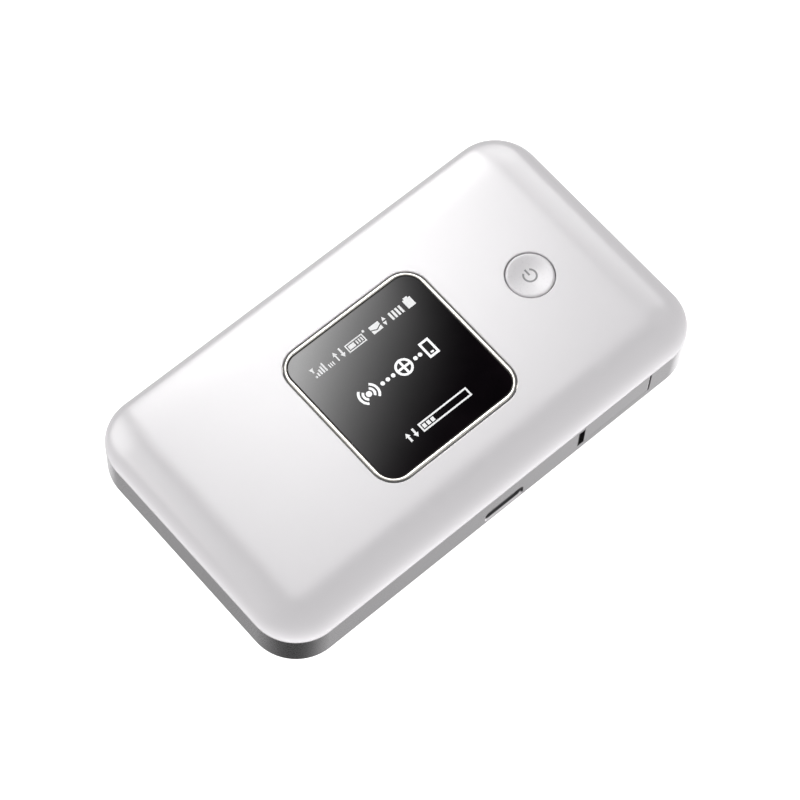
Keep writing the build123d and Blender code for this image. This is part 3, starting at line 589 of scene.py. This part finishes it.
def front_cover():
    """Crowned shell with its lip, and the openings' edges rounded."""
    shell = Shell()
    power = 2 / COVER_ROUNDNESS

    def skin(wall):
        """Loops from the rim up to where the edge's roll ends; wall is the depth under the top."""
        loops = []
        start = (RIM_WALL + LIP_WALL) if wall else 0.0
        for step in range(1, COVER_STEPS + 1):
            angle = step / COVER_STEPS * pi / 2
            share = 1 - cos(angle) ** power
            rise = (COVER_RISE - wall) * sin(angle) ** power
            inset = start + (COVER_RUN - start) * share
            loops.append(shell.loop(case_loop(inset), lambda x, y, r=rise: SEAM + r + crown(x, y)))
        return loops

    outer_skin = skin(0.0)
    inner_skin = skin(COVER_WALL)
    foot = [shell.loop(case_loop(inset), SEAM + height) for inset, height in RIM_EDGE]
    for inset, height in (
        (RIM_WALL, SEAM),
        (RIM_WALL, SEAM - LIP_DEPTH),
        (RIM_WALL + LIP_WALL, SEAM - LIP_DEPTH),
        (RIM_WALL + LIP_WALL, SEAM),
    ):
        foot.append(shell.loop(case_loop(inset), height))
    shell.chain(outer_skin[::-1] + foot + inner_skin)
    window = opening_edge(shell, lambda grow: square_loop(OPENING_HALF + grow, OPENING_CORNER + grow))
    button = opening_edge(shell, lambda grow: circle_loop(CAP_X, 0, CAP_RADIUS + CAP_GAP + grow))
    shell.fill(outer_skin[-1], [window[0], button[0]], cover_top)
    shell.fill(inner_skin[-1], [window[1], button[1]], cover_underside)
    piece = make_object("cover_shell", shell)
    paint(piece, "white_gloss")
    return place(piece, "housing", "white_gloss", "front_cover")


def opening_edge(shell, outline):
    """The wall of an opening, rounded over at the top; returns its upper and lower loop."""
    loops = [shell.loop(outline(OPENING_EDGE + OPENING_MARGIN), cover_top)]
    for step in range(6):
        angle = step / 5 * pi / 2
        grow = OPENING_EDGE * (1 - sin(angle))
        drop = OPENING_EDGE * (1 - cos(angle))
        loops.append(shell.loop(outline(grow), lambda x, y, d=drop: cover_top(x, y) - d))
    loops.append(shell.loop(outline(0.0), cover_underside))
    shell.chain(loops)
    return loops[0], loops[-1]


# ---------------------------------------------------------------- the band


SAME_PLANE = 0.99998  # the least cosine between faces of one flat patch
SMOOTH_BEND = cos(radians(30.0))
WELD = 1e-6  # metres


def flat_areas(work):
    """For each face, the area of the flat patch it belongs to."""
    areas = {}
    for seed in work.faces:
        if seed in areas:
            continue
        patch, waiting = {seed}, [seed]
        while waiting:
            face = waiting.pop()
            for edge in face.edges:
                for other in edge.link_faces:
                    if other not in patch and other.normal.dot(seed.normal) > SAME_PLANE:
                        patch.add(other)
                        waiting.append(other)
        total = sum(face.calc_area() for face in patch)
        for face in patch:
            areas[face] = total
    return areas


def smooth_copy(name, node):
    """A CAD mesh welded and shaded smooth, its corner normals weighted by the flat patches' areas."""
    mesh = NODES[node].data.copy()
    mesh.name = name
    work = bmesh.new()
    work.from_mesh(mesh)
    bmesh.ops.remove_doubles(work, verts=work.verts[:], dist=WELD)
    bmesh.ops.recalc_face_normals(work, faces=work.faces[:])
    work.normal_update()
    work.to_mesh(mesh)
    work.faces.ensure_lookup_table()
    areas = flat_areas(work)
    normals = []
    for face in work.faces:
        for corner in face.loops:
            fan, waiting = {face}, [face]
            while waiting:
                for edge in waiting.pop().edges:
                    if corner.vert not in edge.verts or len(edge.link_faces) != 2:
                        continue
                    first, second = edge.link_faces
                    if first.normal.dot(second.normal) < SMOOTH_BEND:
                        continue
                    for other in (first, second):
                        if other not in fan:
                            fan.add(other)
                            waiting.append(other)
            total = Vector()
            for other in fan:
                total += other.normal * areas[other]
            normals.append(total.normalized() if total.length else face.normal)
    work.free()
    mesh.shade_smooth()
    mesh.normals_split_custom_set(normals)
    mesh.materials.clear()
    return add_object(name, mesh)


def on_outside(point):
    """Whether a point of the band, in millimetres, is on its painted outside."""
    corner_x = max(abs(point.x) - (HALF_L - CORNER), 0.0)
    corner_y = max(abs(point.y) - (HALF_W - CORNER), 0.0)
    reach = sqrt(corner_x ** 2 + corner_y ** 2) if corner_x and corner_y else max(corner_x, corner_y)
    return reach > CORNER - PAINT_REACH


def silver_frame():
    """The band and web: silver outside, plain inside, and a painted highlight, a paler copy of the silver,
    where the near side's openings face up.
    """
    piece = smooth_copy("silver_frame", "mid_frame")
    # The third material is the silver made brighter: a painted highlight.
    for material in (MATERIALS["silver_band"], inner_plastic(), silver_band("port_painted_highlight", 1.25)):
        piece.data.materials.append(material)
    for face in piece.data.polygons:
        middle = face.center / MM
        if not any(on_outside(piece.data.vertices[i].co / MM) for i in face.vertices):
            face.material_index = 1
        # Upward faces of the near side's openings take the painted highlight.
        elif middle.y < -HALF_W + HIGHLIGHT_REACH and middle.z < HIGHLIGHT_TOP and face.normal.z > HIGHLIGHT_SLOPE:
            face.material_index = 2
    return place(piece, "housing", "silver_band", "mid_frame")


def moulded_parts():
    """Pieces whose CAD shape is already right, shaded smooth."""
    for name, node, body in (
        ("rear_shell", "back_cover", "rear_cover"),
        ("jack_flap", "antenna_flap", "flap"),
        ("menu_cap", "menu_button", "menu_key"),
        ("reset_cap", "reset_button", "reset_key"),
        ("port_shell", "usb_shell", "housing"),
        ("port_tongue", "usb_tongue", "housing"),
    ):
        slot_name = SLOTS[node]
        piece = smooth_copy(name, node)
        paint(piece, slot_name)
        place(piece, body, slot_name, node)


# ---------------------------------------------------------------- the window


def window_ring():
    """Trim ring with a softly domed top and a collar in its gap painted dark as the gap's shade, over the
    ledge under the lens.
    """
    shell = Shell()
    low, high = RING_LOW.z, RING_HIGH.z
    dome = [(RING_HALF, RING_CORNER, high - RING_DOME)]
    for step in range(1, 8):
        share = step / 8
        half = RING_HALF + (WINDOW_HALF - RING_HALF) * share
        corner = RING_CORNER + (WINDOW_CORNER - RING_CORNER) * share
        dome.append((half, corner, high - RING_DOME * abs(2 * share - 1) ** 3))
    rows = [
        (COLLAR_HALF, COLLAR_CORNER, low + RING_FLANGE_HEIGHT),
        (COLLAR_HALF, COLLAR_CORNER, high - COLLAR_DEPTH),
        (RING_HALF, RING_CORNER, high - COLLAR_DEPTH),
        *dome,
        (WINDOW_HALF, WINDOW_CORNER, high - RING_INNER_DROP),
        (WINDOW_HALF, WINDOW_CORNER, LEDGE_TOP),
        (LEDGE_HALF, LEDGE_CORNER, LEDGE_TOP),
        (LEDGE_HALF, LEDGE_CORNER, low),
        (RING_HALF + RING_FLANGE, RING_CORNER, low),
        (RING_HALF + RING_FLANGE, RING_CORNER, low + RING_FLANGE_HEIGHT),
    ]
    loops = [shell.loop(square_loop(half, corner, FINE_ARC), height) for half, corner, height in rows]
    shell.chain(loops, closed=True)
    piece = make_object("trim_ring", shell)
    # The collar's faces take the dark film colour: painted shade in the gap round the ring.
    paint(piece, "trim_ring", "adhesive")
    for face in piece.data.polygons[:2 * len(loops[0])]:
        face.material_index = 1
    return place(piece, "housing", "trim_ring", "display_bezel")


def lens():
    """Black window with a rounded upper edge."""
    shell = Shell()
    high = LENS_HIGH.z
    rows = [(0.0, LENS_LOW.z), (0.0, high - LENS_EDGE)]
    for step in range(1, 6):
        angle = step / 5 * pi / 2
        rows.append((LENS_EDGE * (1 - cos(angle)), high - LENS_EDGE * (1 - sin(angle))))
    rows.append((LENS_EDGE + LENS_MARGIN, high))
    loops = []
    for inset, height in rows:
        loops.append(shell.loop(square_loop(LENS_HALF - inset, LENS_CORNER - inset, FINE_ARC), height))
    shell.chain(loops)
    shell.cap(loops[0])
    shell.cap(loops[-1])
    piece = make_object("display_lens", shell)
    paint(piece, "lens_black")
    return place(piece, "housing", "lens_black", "display_window")


# ---------------------------------------------------------------- the lit picture


def polygon(shell, *points):
    prism(shell, points, PICTURE_LOW, PICTURE_HIGH)


def bar(shell, x, y, width, height):
    """A rectangle from its lower left corner."""
    polygon(shell, (x, y), (x + width, y), (x + width, y + height), (x, y + height))


def arc_outline(x, y, radius, line, start, end, steps):
    """The outline of part of a ring, between two angles in degrees."""
    turn = [radians(start + (end - start) * i / steps) for i in range(steps + 1)]
    outer = [(x + radius * cos(a), y + radius * sin(a)) for a in turn]
    inner = [(x + (radius - line) * cos(a), y + (radius - line) * sin(a)) for a in reversed(turn)]
    return outer + inner


def arc(shell, x, y, radius, line, start, end, steps=24):
    polygon(shell, *arc_outline(x, y, radius, line, start, end, steps))


def disc(shell, x, y, radius):
    polygon(shell, *circle_loop(x, y, radius, 32))


def frame_box(shell, x, y, width, height, line):
    """An empty rectangle drawn with four bars."""
    bar(shell, x, y, width, line)
    bar(shell, x, y + height - line, width, line)
    bar(shell, x, y + line, line, height - 2 * line)
    bar(shell, x + width - line, y + line, line, height - 2 * line)


def status_row():
    """A mast, bars, traffic arrows, two batteries and a message, along the top."""
    shell = Shell()
    base = 9.9
    mast = ((-12.9, 12.2), (-11.9, 12.2), (-12.25, 11.6), (-12.25, 11.1), (-12.55, 11.1), (-12.55, 11.6))
    polygon(shell, *mast)
    for number in range(5):
        bar(shell, -12.7 + number * 0.62, base, 0.36, 0.45 + number * 0.4)
    for number in range(3):
        bar(shell, -9.2 + number * 0.5, base, 0.24, 0.9)
    bar(shell, -7.0, base + 0.1, 0.3, 1.5)
    polygon(shell, (-7.35, base + 1.4), (-6.35, base + 1.4), (-6.85, base + 2.3))
    bar(shell, -5.6, base + 0.8, 0.4, 1.5)
    polygon(shell, (-5.95, base + 0.9), (-5.4, base), (-4.85, base + 0.9))
    frame_box(shell, -4.2, base, 4.4, 1.9, 0.25)
    bar(shell, -3.7, base + 0.5, 1.5, 0.9)
    for number in range(3):
        bar(shell, -1.8 + number * 0.6, base + 0.5, 0.3, 0.9)
    disc(shell, 0.75, base + 2.0, 0.28)
    polygon(shell, (2.0, base), (4.4, base), (4.4, base + 0.9), (3.2, base + 0.35), (2.0, base + 0.9))
    flap = ((2.0, 1.15), (3.2, 0.6), (4.4, 1.15), (4.4, 1.9), (2.0, 1.9))
    polygon(shell, *[(x, base + y) for x, y in flap])
    polygon(shell, (4.9, base + 0.9), (5.8, base + 0.9), (5.35, base))
    polygon(shell, (5.1, base + 1.2), (6.0, base + 1.2), (5.55, base + 2.1))
    for number in range(4):
        bar(shell, 6.9 + number * 0.85, base, 0.5, 1.8)
    bar(shell, 10.9, base - 0.1, 1.9, 2.1)
    bar(shell, 11.35, base + 2.0, 1.0, 0.4)
    return shell


def link_row():
    """A mast with its waves, a globe and a handset that share the link: the picture in the middle."""
    shell = Shell()
    mast, globe, low, high = -7.2, 1.8, -1.1, 2.8
    middle = (low + high) / 2
    disc(shell, mast, middle, 0.62)
    for radius in (1.45, 2.35):
        arc(shell, mast, middle, radius, 0.52, -52, 52)
        arc(shell, mast, middle, radius, 0.52, 128, 232)
    for number in range(3):
        disc(shell, -3.7 + number * 1.35, middle, 0.45)
    arc(shell, globe, middle, 1.9, 0.5, 0, 360, 48)
    bar(shell, globe - 0.25, middle - 1.5, 0.5, 3.0)
    bar(shell, globe - 1.5, middle - 0.25, 3.0, 0.5)
    for number in range(2):
        disc(shell, 4.75 + number * 1.2, middle, 0.45)
    frame_box(shell, 7.0, low, 2.5, high - low, 0.5)
    bar(shell, 7.9, low + 0.75, 0.7, 0.4)
    return shell


def usage_row():
    """Two arrows and a bar about a fourth full, along the bottom."""
    shell = Shell()
    low, high = -12.2, -10.1
    bar(shell, -7.65, low, 0.46, 1.25)
    polygon(shell, (-8.0, low + 1.2), (-6.84, low + 1.2), (-7.42, high))
    bar(shell, -6.05, low + 0.85, 0.46, 1.25)
    polygon(shell, (-6.4, low + 0.9), (-5.82, low), (-5.24, low + 0.9))
    frame_box(shell, -4.4, low, 12.4, high - low, 0.36)
    for number in range(3):
        bar(shell, -3.8 + number * 1.05, low + 0.6, 0.75, 0.9)
    return shell


def lit_pieces():
    """The picture's three rows, each with its brightness."""
    for name, row, level in (
        ("status_row", status_row, 0.34),
        ("link_row", link_row, 0.62),
        ("usage_row", usage_row, 0.46),
    ):
        piece = make_object(name, row())
        piece.data.materials.append(lit_picture(name + "_light", level))
        place(piece, "housing", "backlight")


# ---------------------------------------------------------------- the power button


def dish_height(share):
    """The cap's height at a share of the way from its middle to its rim."""
    return CAP_HIGH.z - CAP_DISH * (1 - share ** 2) ** 1.5


def power_cap():
    """Cap with a softly dished top, its flange and its stem."""
    shell = Shell()
    top = CAP_HIGH.z
    profile = [
        (CAP_STEM_RADIUS, CAP_LOW.z),
        (CAP_STEM_RADIUS, CAP_FLANGE_LOW),
        (CAP_FLANGE_RADIUS, CAP_FLANGE_LOW),
        (CAP_FLANGE_RADIUS, CAP_FLANGE_HIGH),
        (CAP_RADIUS, CAP_FLANGE_HIGH),
        (CAP_RADIUS, top - CAP_RIM),
    ]
    for step in range(1, 9):
        angle = step / 8 * pi / 2
        profile.append((CAP_RADIUS - CAP_RIM * (1 - cos(angle)), top - CAP_RIM * (1 - sin(angle))))
    for step in range(1, 25):
        share = 1 - step / 25
        profile.append(((CAP_RADIUS - CAP_RIM) * share, dish_height(share)))
    lathe(shell, CAP_X, 0, profile)
    piece = make_object("power_cap", shell, 50.0)
    paint(piece, "button_white")
    return place(piece, "power_key", "button_white", "power_button")


def power_mark():
    """The printed ring and stroke in the cap's dish."""
    shell = Shell()
    low = CAP_HIGH.z - CAP_DISH - MARK_DEPTH
    half = MARK_LINE / 2
    ring = arc_outline(CAP_X, 0, MARK_RADIUS, MARK_LINE, 90 + MARK_GAP, 450 - MARK_GAP, 40)
    start, end = MARK_STROKE
    stroke = [(CAP_X - half, start), (CAP_X + half, start), (CAP_X + half, end), (CAP_X - half, end)]

    def top(x, y):
        share = sqrt((x - CAP_X) ** 2 + y ** 2) / (CAP_RADIUS - CAP_RIM)
        return dish_height(share) + MARK_RISE

    prism(shell, ring, low, top)
    prism(shell, stroke, low, top)
    piece = make_object("power_mark", shell)
    paint(piece, "symbol_grey")
    return place(piece, "power_key", "symbol_grey", "power_symbol")


# ---------------------------------------------------------------- studio


VIEW_YAW = radians(-44.3819)
VIEW_TILT = radians(64.4183)
VIEW_ROLL = radians(3.6596)
VIEW_DISTANCE = 0.60144
VIEW_SHIFT = Vector((0.00032, -0.0035))
VIEW_FOCAL = 138.8
VIEW_BACK = Vector((sin(VIEW_YAW) * cos(VIEW_TILT), -cos(VIEW_YAW) * cos(VIEW_TILT), sin(VIEW_TILT)))
MIRRORED = Vector((-VIEW_BACK.x, -VIEW_BACK.y, VIEW_BACK.z))

SKY_PEAK = 4.0
AMBIENT = 0.72
GAP_LEVELS = ((0, AMBIENT), (0.55, AMBIENT), (0.8, 0.0), (1, 0.0))
BELOW_LEVELS = ((0, 0.0), (0.1, 0.03), (0.25, 0.42), (0.4, 0.55), (0.6, 0.62), (0.75, 1.4), (1, 1.9))
BELOW_TILT = ((0, 0.62 * SKY_PEAK), (1, 0.95 * SKY_PEAK))
FLOOR_HEIGHT = -0.0325
FLOOR_HALF = 4.0
FLOOR_GLOW = 0.8


def make_camera():
    """The viewpoint: where it looks from, and how it is turned."""
    right = Vector((cos(VIEW_YAW), sin(VIEW_YAW), 0))
    up = VIEW_BACK.cross(right)
    rolled_right = cos(VIEW_ROLL) * right + sin(VIEW_ROLL) * up
    rolled_up = cos(VIEW_ROLL) * up - sin(VIEW_ROLL) * right
    data = bpy.data.cameras.new("camera")
    data.sensor_width = 36.0
    data.lens = VIEW_FOCAL
    data.clip_start = 0.01
    data.clip_end = 50.0
    camera = add_object("camera", data)
    aim = right * VIEW_SHIFT.x + up * VIEW_SHIFT.y + Vector((0, 0, SEAM * MM))
    turn = Matrix((rolled_right, rolled_up, VIEW_BACK)).transposed()
    camera.matrix_world = Matrix.Translation(VIEW_BACK * VIEW_DISTANCE + aim) @ turn.to_4x4()
    bpy.context.scene.camera = camera


def lights_only(light, piece, lit):
    """Links a light to one piece alone, or to everything except that piece."""
    group = bpy.data.collections.new(light.name + "_receivers")
    group.objects.link(piece)
    light.light_linking.receiver_collection = group
    group.collection_objects[0].light_linking.link_state = "INCLUDE" if lit else "EXCLUDE"


class Sky(Nodes):
    """The surroundings, as brightness by direction."""

    def __init__(self):
        world = bpy.data.worlds.new("studio")
        bpy.context.scene.world = world
        world.use_nodes = True
        super().__init__(world.node_tree)
        self.background = self.tree.nodes["Background"]
        self.direction = self.node("TexCoord").outputs["Generated"]

    def curve(self, axis, low, high, points):
        """Brightness against the reach along an axis, through points of (share of low to high, level)."""
        value = self.dot(self.direction, axis)
        share = self.node("MapRange", Value=value, From_Min=low, From_Max=high)
        ramp = self.node("ValToRGB", Fac=share.outputs["Result"])
        ramp.color_ramp.interpolation = "EASE"
        elements = ramp.color_ramp.elements
        while len(elements) < len(points):
            elements.new(0.5)
        for element, (spot, level) in zip(elements, points):
            element.position = spot
            element.color = (level / SKY_PEAK, level / SKY_PEAK, level / SKY_PEAK, 1)
        return ramp.outputs["Color"]

    def mix(self, factor, a, b):
        """a where the factor is 0 and b where it is 1."""
        rest = self.math("SUBTRACT", 1.0, factor)
        return self.math("ADD", self.math("MULTIPLY", a, rest), self.math("MULTIPLY", b, factor))


def make_world():
    """Even light from the sides and above, dark where the case would mirror it to the camera.

    Below, where the camera's rays go on to after meeting the band, it is graded by direction.
    """
    sky = Sky()
    share = sqrt(0.5) / MIRRORED.xy.length
    below = sky.curve((share, share, 0), -1.0, 1.0, BELOW_LEVELS)
    tilt = sky.curve((share, -share, 0), -1.0, 1.0, BELOW_TILT)
    around = sky.curve(MIRRORED, 0.9, 1.0, GAP_LEVELS)
    height = sky.curve((0, 0, 1), -0.6, -0.3, ((0, 0.0), (1, SKY_PEAK)))
    level = sky.mix(height, sky.math("MULTIPLY", below, tilt), around)
    sky.feed(sky.background.inputs["Strength"], sky.math("MULTIPLY", level, SKY_PEAK))
    sky.feed(sky.background.inputs["Color"], (1, 1, 1, 1))


def make_floor():
    """A pale floor, low enough to show the rear cover when it is pulled off, and clear from below."""
    mesh = bpy.data.meshes.new("floor")
    corners = [(x * FLOOR_HALF, y * FLOOR_HALF, 0) for x, y in ((-1, -1), (1, -1), (1, 1), (-1, 1))]
    mesh.from_pydata(corners, [], [(0, 1, 2, 3)])
    floor = add_object("floor", mesh)
    floor.location.z = FLOOR_HEIGHT
    finish = Finish("pale_floor", (0.9, 0.9, 0.9), 0.8)
    finish.feed_shader("Emission Color", (1, 1, 1, 1)).feed_shader("Emission Strength", FLOOR_GLOW)
    mix = finish.node("MixShader", Fac=finish.node("NewGeometry").outputs["Backfacing"])
    finish.feed(mix.inputs[1], finish.shader.outputs["BSDF"])
    finish.feed(mix.inputs[2], finish.node("BsdfTransparent").outputs["BSDF"])
    finish.feed(finish.tree.nodes["Material Output"].inputs["Surface"], mix.outputs["Shader"])
    mesh.materials.append(finish.material)
    floor.visible_diffuse = False
    floor.visible_glossy = False
    floor.visible_shadow = False


class Softbox:
    """A rectangular area light facing the case, or against a direction, and graded if it is asked to be."""

    def __init__(self, name, centre, size, level, back=None):
        self.centre = Vector(centre)
        back = Vector(back or centre).normalized()
        self.along = Vector((0, 0, 1)).cross(back).normalized()
        self.up = back.cross(self.along)
        self.data = bpy.data.lights.new(name, "AREA")
        self.data.shape = "RECTANGLE"
        self.data.size, self.data.size_y = size
        self.data.energy = level * pi * size[0] * size[1]
        self.light = add_object(name, self.data)
        facing = Matrix((self.along, self.up, back)).transposed()
        self.light.matrix_world = Matrix.Translation(self.centre) @ facing.to_4x4()
        self.light.visible_camera = False
        self.level = None

    def grade(self, axis, dark, light, power=None):
        """Fades from dark to light between two distances from the middle along an axis."""
        self.data.use_nodes = True
        nodes = Nodes(self.data.node_tree)
        middle = self.centre.dot(axis)
        reach = nodes.dot(nodes.node("NewGeometry").outputs["Position"], axis)
        share = nodes.node("MapRange", Value=reach, From_Min=middle + dark, From_Max=middle + light)
        value = share.outputs["Result"]
        if power:
            value = nodes.math("POWER", value, power)
        else:
            share.interpolation_type = "SMOOTHSTEP"
        if self.level is not None:
            value = nodes.math("MULTIPLY", self.level, value)
        self.level = value
        nodes.feed(nodes.tree.nodes["Emission"].inputs["Strength"], value)


FILLS = (
    ("front_fill", (0.0, -1.2, -0.22), 5.5),
    ("left_fill", (-1.2, 0.0, -0.22), 3.8),
)
FILL_SIZE = (1.4, 0.4)
# Each sheen light's centre, size and level, then where it fades across its height and its length.
# They overlap, so each is a little farther away than the one before: a mirrored ray meets only one
# of two lights in the same plane.
SHEENS = (
    ("sheen", (0.325, 0.672, 0.672), (0.56, 1.42), 12.3,
     ((0.70, 0.33), (-0.60, -0.04)), ((0.24, 0.05), (-0.24, -0.05))),
    ("sheen_tail", (0.75, 0.68, 0.68), (1.1, 1.42), 6.0,
     ((0.62, 0.27), (-0.60, 0.1)), ((0.27, 0.11), (-0.50, -0.20))),
    ("sheen_head", (-0.125, 0.688, 0.688), (0.9, 1.42), 5.5,
     ((0.57, 0.27), (-0.60, -0.10)), ((0.44, 0.15), (-0.25, -0.05))),
)
SHEEN_BACK = (0, 1, 1)
WINDOW_SIDE = 0.048
WINDOW_HEIGHT = 0.5
WINDOW_LEVEL = 10.5
# Fades of the window's light as the lens shows them: axis, dark and light distance, power.
WINDOW_FADES = (
    (Vector((-0.487, 0.873, 0)), -0.0155, 0.0205, 2.9),
    (Vector((1, 0, 0)), 0.024, 0.006, None),
    (Vector((0, 1, 0)), -0.024, -0.004, None),
)


def make_lights(lens_piece):
    """Fills for matt colour, tall soft lights for the cover's sheen, and a graded one for the window."""
    for name, spot, level in FILLS:
        Softbox(name, spot, FILL_SIZE, level).light.visible_glossy = False
    for name, spot, size, level, up_fades, along_fades in SHEENS:
        sheen = Softbox(name, spot, size, level, SHEEN_BACK)
        for dark, light in up_fades:
            sheen.grade(sheen.up, dark, light)
        for dark, light in along_fades:
            sheen.grade(sheen.along, dark, light)
        sheen.light.visible_diffuse = False
        lights_only(sheen.light, lens_piece, False)
    # The window's light fills what the lens mirrors; scale is how much that spreads on the way up.
    scale = 1 + WINDOW_HEIGHT / (MIRRORED.z * VIEW_DISTANCE)
    centre = MIRRORED * (WINDOW_HEIGHT / MIRRORED.z) + Vector((0, 0, LENS_HIGH.z * MM))
    window = Softbox("window_sheen", centre, (WINDOW_SIDE * scale, WINDOW_SIDE * scale), WINDOW_LEVEL)
    for axis, dark, light, power in WINDOW_FADES:
        window.grade(axis, dark * scale, light * scale, power)
    window.light.visible_diffuse = False
    lights_only(window.light, lens_piece, True)


# ---------------------------------------------------------------- everything together

for node, slot_name in SLOTS.items():
    paint(NODES[node], slot_name)

front_cover()
silver_frame()
moulded_parts()
window_ring()
lens_piece = lens()
lit_pieces()
power_cap()
power_mark()

make_camera()
make_world()
make_floor()
make_lights(lens_piece)

bpy.context.scene.view_settings.view_transform = "Standard"
